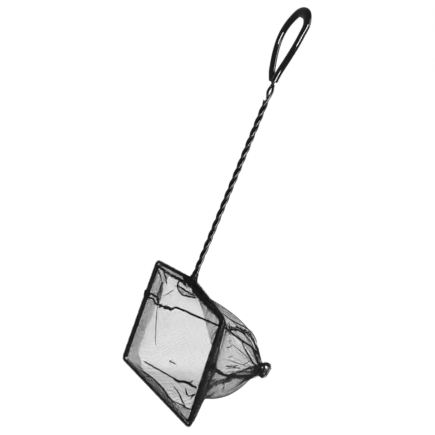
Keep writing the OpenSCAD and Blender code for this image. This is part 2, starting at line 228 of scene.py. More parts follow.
def tube(path: Array, radius: float, sides: int, side: Array, ends: Ends = Ends.ROUND) -> Shape:
    """A tube round a path.

    Args:
        path: the centre line, one row a place.
        radius: its radius in metres.
        sides: corners round the tube.
        side: a direction that the path never takes, which sets where a turn starts.
        ends: how the tube ends. A round end is a half ball of three more rings.

    Returns:
        The tube, mapped by share round it and by metres along it.
    """
    heading, normal, binormal = frames(path, side)
    sizes = np.full((len(path), 2), radius)
    lift = np.radians([75.0, 50.0, 25.0])
    if ends is Ends.ROUND:
        out, shrink = radius * np.sin(lift)[:, None], np.cos(lift)[:, None]
        low, high = path[:1] - heading[:1] * out, path[-1:] + heading[-1:] * out[::-1]
        path = np.concatenate([low, path, high])
        sizes = np.concatenate([sizes[:1] * shrink, sizes, sizes[-1:] * shrink[::-1]])
        normal = np.concatenate([normal[[0] * 3], normal, normal[[-1] * 3]])
        binormal = np.concatenate([binormal[[0] * 3], binormal, binormal[[-1] * 3]])
    points = rings(path, sizes, normal, binormal, sides).reshape(-1, 3)
    k = np.arange(sides)
    first, last = len(points), (len(path) - 1) * sides
    low = np.stack([np.full(sides, first), (k + 1) % sides, k], -1)
    high = np.stack([np.full(sides, first + 1), last + k, last + (k + 1) % sides], -1)
    cap_maps = np.stack([np.stack([k, k, k + 1], -1) / sides, np.zeros((sides, 3))], -1)
    tips = path[[0, -1]]
    if ends is Ends.ROUND:
        tips = tips + np.stack([-heading[0], heading[-1]]) * radius * (1 - math.sin(lift[0]))
    return Shape(
        np.concatenate([points, tips]),
        [ring_faces(len(path), sides), np.concatenate([low, high])],
        [ring_maps(travelled(path), sides), np.concatenate([cap_maps, cap_maps])],
    )


def in_scene(
    name: str,
    data: bpy.types.ID,
    axes: tuple[Array, Array, Array] | None = None,
    place: tuple[float, float, float] = (0.0, 0.0, 0.0),
) -> Piece:
    """Make an object of the scene.

    Args:
        name: its name.
        data: its mesh, light or camera.
        axes: the ways that its X, Y and Z point, if it is turned.
        place: where it then stands.

    Returns:
        The object.
    """
    made = bpy.data.objects.new(name, data)
    if axes is not None:
        turned = np.eye(4)
        turned[:3, :3], turned[:3, 3] = np.stack(axes, -1), place
        made.matrix_world = Matrix(turned)
    bpy.context.scene.collection.objects.link(made)
    return made


def put(name: str, shape: Shape, finish: "Finish", replaces: tuple[str, ...] = ()) -> Piece:
    """Make a shape an object of the net.

    Args:
        name: the piece's name.
        shape: its mesh, in its place.
        finish: what it is made of.
        replaces: the CAD nodes it stands for.

    Returns:
        The object, which rides with the net.
    """
    mesh = bpy.data.meshes.new(name)
    corners = np.concatenate([f.ravel() for f in shape.faces])
    totals = np.concatenate([np.full(len(f), f.shape[1]) for f in shape.faces])
    starts = np.concatenate([[0], np.cumsum(totals)[:-1]])
    mesh.vertices.add(len(shape.points))
    mesh.loops.add(len(corners))
    mesh.polygons.add(len(totals))
    mesh.vertices.foreach_set("co", shape.points.astype(np.float32).ravel())
    mesh.loops.foreach_set("vertex_index", corners.astype(np.int32))
    mesh.polygons.foreach_set("loop_start", starts.astype(np.int32))
    mesh.polygons.foreach_set("use_smooth", np.ones(len(totals), bool))
    mesh.update(calc_edges=True)
    mesh.validate()
    places = np.concatenate([m.reshape(-1, 2) for m in shape.maps])
    mesh.uv_layers.new(name="cloth").data.foreach_set("uv", places.astype(np.float32).ravel())
    mesh.materials.append(finish.material())
    piece = in_scene(name, mesh)
    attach(piece, "root")
    if replaces:
        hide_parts(*replaces)
    LOG.info("%s: %d points, %d faces", name, len(shape.points), len(totals))
    return piece


# Finishes

# A colour mix node's two colour inputs and its colour output
MIX_FROM, MIX_TO, MIX_RESULT = 6, 7, 2


def linear(colour: str) -> tuple[float, float, float, float]:
    """A colour written as sRGB hex, in the linear values that shaders take.

    Args:
        colour: the colour, such as #0c0c0d.

    Returns:
        Red, green, blue and full cover.
    """
    s = np.array([int(colour[k : k + 2], 16) for k in (1, 3, 5)]) / 255
    r, g, b = np.where(s <= 0.04045, s / 12.92, ((s + 0.055) / 1.055) ** 2.4)
    return (float(r), float(g), float(b), 1.0)


def feed(tree: Nodes, node: bpy.types.Node, links: dict, values: dict) -> None:
    """Fill a node's inputs.

    Args:
        tree: the nodes it is one of.
        node: the node.
        links: the sockets that feed its inputs, by input name or number.
        values: numbers and colours for its inputs, by input name or number.
    """
    for key, value in values.items():
        node.inputs[key].default_value = value
    for key, socket in links.items():
        tree.links.new(socket, node.inputs[key])


def add(
    tree: Nodes, kind: str, links: dict | None = None, values: dict | None = None, **settings: object
) -> bpy.types.Node:
    """Add a node.

    Args:
        tree: the material's or world's nodes.
        kind: the node's type name, without its ShaderNode.
        links: what feeds its inputs.
        values: what its other inputs hold.
        **settings: its properties.

    Returns:
        The node.
    """
    node = tree.nodes.new("ShaderNode" + kind)
    for key, value in settings.items():
        setattr(node, key, value)
    feed(tree, node, links or {}, values or {})
    return node


def maths(tree: Nodes, operation: str, links: dict, values: dict | None = None) -> Socket:
    """The result of a sum that a node works out."""
    return add(tree, "Math", links, values, operation=operation).outputs[0]


@dataclass(frozen=True)
class Finish:
    """A surface of one real material.

    Attributes:
        name: the material's common name.
        dark, pale: the two sRGB colours it wanders between.
        patch: size in metres of the patches of colour.
        smooth, rough: lowest and highest roughness.
        gloss: specular level, 0.5 being a plain plastic's.
        grain: size in metres of the surface's finest unevenness.
        relief: height in metres of that unevenness.
        metal: 1 for bare metal.
    """

    name: str
    dark: str
    pale: str
    patch: float
    smooth: float
    rough: float
    gloss: float
    grain: float
    relief: float
    metal: float = 0.0

    def noise(self, tree: Nodes, size: float, detail: float) -> Socket:
        """Noise of a size in metres, in the net's own frame."""
        place = {"Vector": add(tree, "TexCoord").outputs["Object"]}
        return add(tree, "TexNoise", place, {"Scale": 1 / size, "Detail": detail}).outputs["Fac"]

    def relief_height(self, tree: Nodes) -> Socket:
        """The height pattern of the surface: fine noise at the grain's size."""
        return self.noise(tree, self.grain, detail=2.0)

    def material(self) -> bpy.types.Material:
        """The material, made once and then shared: colour and roughness wander together.

        Returns:
            The material.
        """
        made = bpy.data.materials.get(self.name)
        if made:
            return made
        made = bpy.data.materials.new(self.name)
        made.use_nodes = True
        tree = made.node_tree
        patches = self.noise(tree, self.patch, detail=3.0)
        colours = {MIX_FROM: linear(self.dark), MIX_TO: linear(self.pale)}
        colour = add(tree, "Mix", {"Factor": patches}, colours, data_type="RGBA")
        span = {"From Min": 0.3, "From Max": 0.7, "To Min": self.smooth, "To Max": self.rough}
        roughness = add(tree, "MapRange", {"Value": patches}, span)
        height = {"Distance": self.relief, "Strength": 1.0}
        bump = add(tree, "Bump", {"Height": self.relief_height(tree)}, height)
        links = {
            "Base Color": colour.outputs[MIX_RESULT],
            "Roughness": roughness.outputs["Result"],
            "Normal": bump.outputs["Normal"],
        }
        values = {"Metallic": self.metal} | ({} if self.metal else {"Specular IOR Level": self.gloss})
        feed(tree, tree.nodes["Principled BSDF"], links, values)
        return made


@dataclass(frozen=True)
class TwistedThread(Finish):
    """A finish whose relief is the lay of a twisted thread, from its own map.

    Attributes:
        lay: metres along the thread in which its yarns turn once.
        yarns: how many yarns are twisted together.
    """

    lay: float = 0.0012
    yarns: int = 3

    def relief_height(self, tree: Nodes) -> Socket:
        """Ridges that wind round the thread: sin(2 pi yarns (u + v / lay)).

        Args:
            tree: the material's nodes.

        Returns:
            The ridges' height.
        """
        ridges = FULL_TURN * self.yarns
        split = add(tree, "SeparateXYZ", {"Vector": add(tree, "TexCoord").outputs["UV"]})
        round_it = maths(tree, "MULTIPLY", {0: split.outputs["X"]}, {1: ridges})
        both = {0: split.outputs["Y"], 2: round_it}
        return maths(tree, "SINE", {0: maths(tree, "MULTIPLY_ADD", both, {1: ridges / self.lay})})


# Drawn steel wire dipped in black vinyl: even and dark, with a soft narrow gloss and a
# faint orange peel about half a millimetre across
COATED_WIRE = Finish(
    "Vinyl_dipped_steel_wire", "#0c0c0d", "#141415", patch=0.006, smooth=0.14, rough=0.22,
    gloss=0.1, grain=0.0006, relief=4e-6,
)
# Extruded soft vinyl tube, pressed over the loop: wet-looking black with long clean lights
GRIP_VINYL = Finish(
    "Extruded_soft_vinyl", "#0a0a0b", "#111112", patch=0.02, smooth=0.06, rough=0.1,
    gloss=0.1, grain=0.0015, relief=5e-6,
)
# Black nylon monofilament, knitted open: each thread is dark with a dull shine
NET_NYLON = Finish(
    "Knitted_nylon_monofilament", "#0e0e10", "#1a1a1e", patch=0.004, smooth=0.42, rough=0.6,
    gloss=0.05, grain=0.0004, relief=6e-6,
)
# Black spun polyester sewing thread, twisted: matt, with ridges about half a millimetre apart
SEWING_THREAD = TwistedThread(
    "Spun_polyester_thread", "#0b0b0c", "#151516", patch=0.003, smooth=0.6, rough=0.8,
    gloss=0.04, grain=0.0005, relief=6e-5,
)
# The wire's cropped end: bare mild steel, dull from the cutter
CROPPED_STEEL = Finish(
    "Cropped_mild_steel", "#77797c", "#9a9c9f", patch=0.0006, smooth=0.35, rough=0.5,
    gloss=0.5, grain=0.0002, relief=1e-5, metal=1.0,
)


# Wire

# Corners round the steel core
CORE_SIDES = 24


@dataclass
class Wire:
    """The one coated wire of the net, bent into mouth, handle and loop.

    Sizes are in millimetres from the neck and angles in degrees, as the construction has them.

    Attributes:
        thick: diameter over the coating.
        top_w, bottom_w, height, peak: the mouth's widths, its sides and its top's rise.
        bend, neck_bend: radii of its bends.
        handle, lean, turns, gap: the handle's length, lean, turns and space between runs.
        open_len, open_gap: length of the loosened twist, and how far it opens.
        loop_len, loop_w, loop_shares: the loop's size, and its centre line as shares of it.
        leg_offset, leg_offset_share: how far its legs stand apart, and up to which share.
        crossing_share: how far below the handle's top the legs cross, as a share of it.
        neck_left, neck_right, neck_back: angles of the three runs at the neck.
        sides, places, bend_places: corners round the wire, and places in a run and a bend.
        core_share: the steel core's share of the diameter.
        proud, cut_in: how far the core stands out of a cropped end, and starts inside it.
    """

    thick: float = 2.9
    top_w: float = 146.0
    bottom_w: float = 154.0
    height: float = 124.0
    peak: float = 11.0
    bend: float = 5.0
    neck_bend: float = 5.0
    handle: float = 228.0
    lean: float = 4.3
    turns: float = 6.2
    gap: float = 0.12
    open_len: float = 20.0
    open_gap: float = 1.5
    loop_len: float = 78.0
    loop_w: float = 33.0
    leg_offset: float = 1.4
    leg_offset_share: float = 0.3
    crossing_share: float = 0.0154
    neck_left: float = 210.0
    neck_right: float = 330.0
    neck_back: float = 90.0
    sides: int = 16
    places: int = 220
    bend_places: int = 13
    core_share: float = 0.8
    proud: float = 0.06
    cut_in: float = 0.2
    loop_shares: Table = (
        (-0.175, 0.016), (-0.26, 0.068), (-0.36, 0.147), (-0.497, 0.35), (-0.57, 0.54),
        (-0.521, 0.705), (-0.367, 0.853), (-0.16, 0.967), (0.075, 1.0), (0.282, 0.978), (0.427, 0.875),
        (0.397, 0.736), (0.321, 0.555), (0.206, 0.373), (0.1, 0.198), (0.065, 0.11), (0.052, 0.026),
    )

    def __post_init__(self) -> None:
        """Work out where the bends and the twist start and end."""
        self.slope = math.atan2(2 * self.peak, self.top_w)
        self.twist_r = (self.thick + self.gap) / math.sqrt(3)
        self.pair_r = (self.thick + self.gap) / 2
        right = self.twist_r * math.cos(math.radians(self.neck_right))
        self.neck_x = right + self.neck_bend * (1 - math.sin(self.slope))
        rise = self.neck_bend * math.cos(self.slope)
        self.neck_top = rise - self.neck_x * math.tan(self.slope)
        self.crossing = self.handle * (1 - self.crossing_share)
        self.open_start = self.handle - self.open_len

    def corners(self) -> Array:
        """The mouth's corners.

        Returns:
            X and Z from the neck, down the left, along, up the right and back to it.
        """
        top, low, down = self.top_w / 2, self.bottom_w / 2, self.peak + self.height
        sides = [(-top, -self.peak), (-low, -down), (low, -down), (top, -self.peak)]
        return np.array([(0, 0), *sides, (0, 0)])

    def placed(self, path: Array | Table) -> Array:
        """A path in millimetres from the neck, in the net's frame in metres."""
        return np.asarray(path, float) * MM + NECK

    def leaned(self, x: Array, y: Array, z: Array) -> Array:
        """Places by their offset from the handle's axis, which leans back over the bag."""
        lean = math.radians(self.lean)
        return np.stack([x, y + z * math.sin(lean), z * math.cos(lean)], -1)

    def mouth_path(self) -> Array:
        """The wire round the mouth: straight sides joined by arcs of the bend's radius.

        Returns:
            The path, in the net's frame.
        """
        corners = self.corners()
        runs = unit(np.diff(corners, axis=0))
        start = self.neck_x / math.cos(self.slope)
        pieces = [corners[:1] + runs[:1] * start]
        for corner, into, out in zip(corners[1:], runs, runs[1:]):
            turn = math.acos(float(np.clip(into @ out, -1, 1)))
            inward = np.array([-into[1], into[0]])
            a = np.linspace(0, turn, self.bend_places)[:, None]
            arc = self.bend * (np.sin(a) * into + (1 - np.cos(a)) * inward)
            pieces.append(corner - into * (self.bend * math.tan(turn / 2)) + arc)
        pieces.append(corners[-1:] - runs[-1:] * start)
        flat = np.concatenate(pieces)
        return self.placed(np.stack([flat[:, 0], 0 * flat[:, 0], flat[:, 1]], -1))

    def angle(self, z: Array) -> Array:
        """Angle round the axis, in radians, of the run that becomes the loop's right leg."""
        share = (z - self.neck_top) / (self.crossing - self.neck_top)
        return np.radians(self.neck_left + 360 * self.turns * share)

    def spread(self, z: Array) -> tuple[Array, Array]:
        """How the runs of the twist part.

        Args:
            z: heights above the neck.

        Returns:
            Share of the loosened twist, and how far the runs stand off the axis.
        """
        share = np.clip((z - self.open_start) / (self.crossing - self.open_start), 0, 1)
        off = self.twist_r + (self.pair_r - self.twist_r) * share
        return share, off + self.open_gap / 2 * np.sin(math.pi * share) ** 2

    def far_offset(self, z: Array) -> Array:
        """Angle from the right leg's run to the left leg's: a third of a turn, then a half."""
        far = math.radians((self.neck_back - self.neck_left) % 360)
        return far + (math.pi - far) * np.minimum(1, 2 * self.spread(z)[0])

    def twisted(self, low: float, high: float, offset: float | None) -> Array:
        """A run of the twist.

        Args:
            low, high: the heights where it starts and ends.
            offset: radians round the axis from the right leg's run, or None for the left's.

        Returns:
            The path, in millimetres from the neck.
        """
        z = np.linspace(low, high, self.places)
        a = self.angle(z) + (self.far_offset(z) if offset is None else offset)
        r = self.spread(z)[1]
        return self.leaned(r * np.cos(a), r * np.sin(a), z)

    def from_mouth(self, sign: int, angle: float, run: Array) -> Array:
        """A run of the twist with the bend that leads up to it from the mouth's sloping top.

        Args:
            sign: 1 for the mouth's right half, -1 for its left.
            angle: where the run starts round the axis.
            run: the run.

        Returns:
            The path, in the net's frame.
        """
        share = np.linspace(0, 1, self.bend_places)[:-1]
        a = self.slope + (math.pi / 2 - self.slope) * share
        back = self.twist_r * math.sin(math.radians(angle))
        back = back + self.neck_top * math.sin(math.radians(self.lean))
        x = sign * (self.neck_x - self.neck_bend * (np.sin(a) - math.sin(self.slope)))
        z = self.neck_top - self.neck_bend * np.cos(a)
        return self.placed(np.concatenate([np.stack([x, back * soft_step(0, 1, share), z], -1), run]))

    def loop_path(self, count: int, legs: bool) -> Array:
        """The loop's centre line from the left leg over the top to the right leg.

        Args:
            count: how many places.
            legs: whether to run on to where the twist stops, as the wire does.

        Returns:
            The line, in the net's frame.
        """
        x, z = np.array(self.loop_shares).T
        side = np.where(np.arange(len(x)) < len(x) // 2, 1, -1)
        back = side * self.leg_offset * np.maximum(0, 1 - z / self.leg_offset_share)
        line = self.leaned(x * self.loop_w, back, self.handle + z * self.loop_len)
        if legs:
            height = np.full(2, self.crossing)
            a = self.angle(height) + [math.pi, 0]
            ends = self.leaned(self.pair_r * np.cos(a), self.pair_r * np.sin(a), height)
            line = np.concatenate([ends[:1], line, ends[1:]])
        return self.placed(spline(line, count))

    def cropped(self, name: str, path: Array) -> None:
        """Make a free end of the wire: the steel core's disc, a hair proud of its coating.

        Args:
            name: the piece's name.
            path: the wire's path, which ends there.
        """
        heading = unit(path[-1] - path[-2])
        line = np.stack([path[-1] - heading * self.cut_in * MM, path[-1] + heading * self.proud * MM])
        core = tube(line, self.core_share * self.thick / 2 * MM, CORE_SIDES, BACKWARDS, Ends.FLAT)
        put(name, core, CROPPED_STEEL)

    def build(self) -> None:
        """Make the five runs of the wire and its two cropped ends."""
        third = math.radians(self.neck_right - self.neck_left)
        start = self.placed(self.twisted(self.neck_top / 2, self.crossing, None))
        back = self.from_mouth(-1, self.neck_left, self.twisted(self.neck_top, self.crossing, 0.0))
        end = self.from_mouth(1, self.neck_right, self.twisted(self.neck_top, self.open_start, third))
        for name, node, path in (
            ("mouth_wire", "mouth_frame_wire", self.mouth_path()),
            ("handle_wire_start", "handle_strand_start", start),
            ("handle_wire_return", "handle_strand_return", back),
            ("handle_wire_end", "handle_strand_end", end),
            ("hanging_loop_wire", "loop_wire", self.loop_path(180, legs=True)),
        ):
            run = tube(path, self.thick / 2 * MM, self.sides, BACKWARDS, Ends.FLAT)
            put(name, run, COATED_WIRE, (node,))
        self.cropped("cropped_end_low", start[::-1])
        self.cropped("cropped_end_high", end)


@dataclass
class GripSleeve:
    """The soft vinyl tube over the hanging loop, pinched wide at the loop's top.

    Attributes:
        wire: the wire that it is pressed on.
        thick, wall, top_w: millimetres across, of its wall, and across where it is pinched.
        count, sides: rings along it and corners round it.
        lip: angles in degrees of the rings that round an end's edge, from outside to inside.
        bulge: how far the lip stands out, as a share of half the wall.
        pinch: 0 where it is plain and 1 where it is pinched, against the share along it.
    """

    wire: Wire
    thick: float = 7.0
    wall: float = 1.4
    top_w: float = 12.0
    count: int = 200
    sides: int = 32
    lip: tuple[float, ...] = (60.0, 20.0, -20.0, -60.0)
    bulge: float = 0.6
    pinch: Table = (
        (0, 0), (0.34, 0), (0.43, 0.35), (0.5, 0.95), (0.555, 1), (0.6, 0.55), (0.66, 0.08), (0.74, 0),
        (1, 0),
    )

    def edge(self, end: Array, heading: Array, size: Array) -> tuple[Array, Array]:
        """The rings of a lip.

        Args:
            end: the end of the tube's centre line.
            heading: the way out of the tube there.
            size: the half sizes of the middle of its wall, in metres.

        Returns:
            The rings' centres and half sizes.
        """
        lip, half = np.radians(self.lip)[:, None], self.wall / 2 * MM
        return end + heading * np.cos(lip) * half * self.bulge, size + np.sin(lip) * half

    def build(self) -> None:
        """Make the sleeve: an outer and an inner skin joined by a rounded lip at each end."""
        path = self.wire.loop_path(self.count, legs=False)
        pinch = read_off(self.pinch, np.linspace(0, 1, self.count))
        wide = self.thick / 2 + (self.top_w - self.thick) / 2 * pinch
        outer = np.stack([wide, np.full(self.count, self.thick / 2)], -1) * MM
        bore = np.full((self.count, 2), (self.thick / 2 - self.wall) * MM)
        heading, normal, binormal = frames(path, BACKWARDS)
        wall = (outer + bore) / 2
        last, last_size = self.edge(path[-1], heading[-1], wall[-1])
        first, first_size = self.edge(path[0], -heading[0], wall[0])
        line = np.concatenate([path, last, path[::-1], first[::-1], path[:1]])
        sizes = np.concatenate([outer, last_size, bore[::-1], first_size[::-1], outer[:1]])
        lips = len(self.lip)
        there, back = np.arange(self.count), np.arange(self.count)[::-1]
        at = np.concatenate([there, [self.count - 1] * lips, back, [0] * lips, [0]])
        points = rings(line, sizes, normal[at], binormal[at], self.sides)[:-1].reshape(-1, 3)
        faces = ring_faces(len(line), self.sides) % len(points)
        maps = ring_maps(np.arange(len(line)) * MM, self.sides)
        put("grip_tube", Shape(points, [faces], [maps]), GRIP_VINYL, ("grip_sleeve",))


# Netting


@dataclass
class Cloth:
    """A piece of netting in its folded place: a grid whose rows run across it.

    The rows are spaced anew so that their places are evenly far apart along the cloth,
    which keeps the net's cells one size however the cloth tapers and folds.
    """

    grid: Array

    def __post_init__(self) -> None:
        """Space the rows' places evenly and measure the cloth's widths and length."""
        rows, cols = self.grid.shape[:2]
        steps = np.linalg.norm(np.diff(self.grid, axis=1), axis=-1)
        far = np.concatenate([np.zeros((rows, 1)), np.cumsum(steps, axis=1)], axis=1)
        self.widths = far[:, -1]
        shift = 2 * np.arange(rows)[:, None]
        at = (far / self.widths[:, None] + shift).ravel()
        want = (np.linspace(0, 1, cols) + shift).ravel()
        even = [np.interp(want, at, line) for line in self.grid.reshape(-1, 3).T]
        self.grid = np.stack(even, -1).reshape(rows, cols, 3)
        drop = np.linalg.norm(np.diff(self.grid, axis=0), axis=-1).mean(axis=1)
        self.down = np.concatenate([[0], np.cumsum(drop)])
        self.length = self.down[-1]
        self.normals = unit(np.cross(np.gradient(self.grid, axis=1), np.gradient(self.grid, axis=0)))
        middles = (self.down[1:] + self.down[:-1]) / 2
        self.area = float(np.interp(middles, self.down, self.widths) @ drop)

    def across(self, flat: Array) -> Array:
        """The share across the cloth, 0 to 1, of places on the flat cloth."""
        return 0.5 + flat[:, 0] / np.interp(flat[:, 1], self.down, self.widths)

    def place(self, flat: Array) -> tuple[Array, Array, Array]:
        """Take places on the flat cloth to where it lies.

        Args:
            flat: distance across from the middle and distance down, in metres.

        Returns:
            The places, the cloth's normals there, and whether each is on the cloth.
        """
        rows, cols = self.grid.shape[:2]
        x, y = flat[..., 0], flat[..., 1]
        v = np.interp(y, self.down, np.arange(rows))
        width = np.interp(v, np.arange(rows), self.widths)
        u = (0.5 + x / np.maximum(width, 1e-9)) * (cols - 1)
        on = (u >= 0) & (u <= cols - 1) & (y >= 0) & (y <= self.length)
        i = np.clip(v.astype(int), 0, rows - 2)
        u = np.clip(u, 0, cols - 1)
        j = np.clip(u.astype(int), 0, cols - 2)
        a, b = (v - i)[..., None], (u - j)[..., None]
        places, normals = (
            (g[i, j] * (1 - b) + g[i, j + 1] * b) * (1 - a)
            + (g[i + 1, j] * (1 - b) + g[i + 1, j + 1] * b) * a
            for g in (self.grid, self.normals)
        )
        return places, unit(normals), on


@dataclass(frozen=True)
class HexNet:
    """Knitted netting of six-sided cells, each side a thread of three faces.

    Attributes:
        pitch: metres between opposite sides of a cell. Real fish netting of this kind is
            about a millimetre; it is drawn half as coarse again so that it shows.
        thick: radius in metres of the ring that a thread's three corners stand on.
        pull: how far the knitting pulls cells out of true, as a share of the pitch.
        give: how many times as long, each way, it lies sewn in as it was cut; not used.
    """

    pitch: float = 1.5 * MM
    thick: float = 0.115 * MM
    pull: float = 0.12
    give: float = 1.12

    def flat_threads(self, width: float, length: float, shift: float) -> Array:
        """The two ends of each thread on the flat cloth.

        Nodes stand in rows 1.5 sides apart, every other row half a pitch over. Each lower
        node joins the one above it and its two neighbours in the next row.

        Args:
            width, length: the cloth's size in metres.
            shift: how far the cells are moved over.

        Returns:
            Both ends of each thread, distance across from the middle and distance down.
        """
        side = self.pitch / math.sqrt(3)
        across, down = int(width / self.pitch) + 3, int(length / (1.5 * side)) + 3
        i, j = np.meshgrid(np.arange(across), np.arange(down), indexing="ij")
        x = ((i - across / 2 + (j % 2) / 2) * self.pitch + shift).ravel()
        y = ((j - 1) * 1.5 * side + shift / 2).ravel()
        low, high = np.stack([x, y], -1), np.stack([x, y + side], -1)
        step = np.array([self.pitch / 2, side / 2])
        over = (high + step, high + step * [-1, 1])
        ends = np.concatenate([np.stack([low, high], 1), *(np.stack([high, o], 1) for o in over)])
        # The knitting's pull wanders over a few cells: one long wave each way and one short
        p, q = ends[..., 0] / self.pitch, ends[..., 1] / self.pitch
        east = np.sin(0.9 * q + 1.3 * np.sin(0.31 * p)) + 0.6 * np.sin(2.3 * p + q)
        south = np.sin(0.8 * p + 1.7 * np.sin(0.23 * q)) + 0.6 * np.sin(1.9 * q - p)
        return ends + self.pull * self.pitch * np.stack([east, south], -1)

    def lay(self, cloth: Cloth, shift: float, drawn: Table) -> Shape:
        """The netting on a cloth: a three-sided prism for each thread that lies on it.

        Args:
            cloth: the cloth.
            shift: how far the cells are moved over, as a share of the pitch.
            drawn: how thick the threads show, against the share across the cloth.

        Returns:
            The threads.
        """
        flat = self.flat_threads(cloth.widths.max(), cloth.length, shift * self.pitch)
        ends, normals, on = cloth.place(flat)
        keep = on.all(axis=1)
        flat, ends, normals = flat[keep], ends[keep], unit(normals[keep].sum(axis=1))
        thick = self.thick * read_off(drawn, cloth.across(flat.mean(axis=1)))[:, None, None]
        heading = unit(ends[:, 1] - ends[:, 0])
        across = unit(np.cross(heading, normals))
        up = np.cross(across, heading)
        turn = np.radians([90.0, 210.0, 330.0])[:, None]
        off = thick * (np.cos(turn) * across[:, None] + np.sin(turn) * up[:, None])
        points = (ends[:, :, None] + off[:, None]).reshape(-1, 3)
        first = 6 * np.arange(len(ends))[:, None, None]
        faces = first + np.array([[0, 3, 4, 1], [1, 4, 5, 2], [2, 5, 3, 0]])
        # A thread's three faces lie side by side on the map, a third of its girth each
        along = unit(flat[:, 1] - flat[:, 0])
        over = np.stack([-along[:, 1], along[:, 0]], -1)[:, None, None]
        strip = self.thick * np.array([[-1.5, -0.5], [-0.5, 0.5], [0.5, 1.5]])
        corner = np.array([[0, 0], [1, 0], [1, 1], [0, 1]])
        maps = flat[:, corner[:, 0]][:, None] + strip[:, corner[:, 1]][None, :, :, None] * over
        return Shape(points, [faces.reshape(-1, 4)], [maps.reshape(-1, 4, 2)])


NET = HexNet()
EVEN = ((0, 1), (1, 1))
# In a fold the threads of neighbouring cells lie together and show as one thicker one
BUNCHED = ((0, 1.45), (1, 1.45))
# The bag's walls are drawn out a little by their own slack, so their cells are wider
WALL_NET = HexNet(pitch=1.65 * MM, give=1.15)
ON_WIRE, ON_UPPER, ON_LOWER = ("mouth_wire",), ("netting_upper",), ("netting_lower",)
# Each layer's cells lie this share of a cell further over, and the least width of a cut
LAYER_SHIFT, LEAST_CUT = 0.37, 10.5 * MM


def net_piece(
    name: str,
    cloths: list[Cloth],
    replaces: tuple[str, ...] = (),
    drawn: Table = EVEN,
    net: HexNet = NET,
) -> None:
    """Args:
        name: the piece's name.
        cloths: the cloths, which are layers or folds of one cut.
        replaces: the CAD nodes it stands for.
        drawn: how thick the threads show, against the share across the cloth.
        net: the netting.
    """
    shape = join([net.lay(c, LAYER_SHIFT * k, drawn) for k, c in enumerate(cloths)])
    piece = put(name, shape, NET_NYLON, replaces)


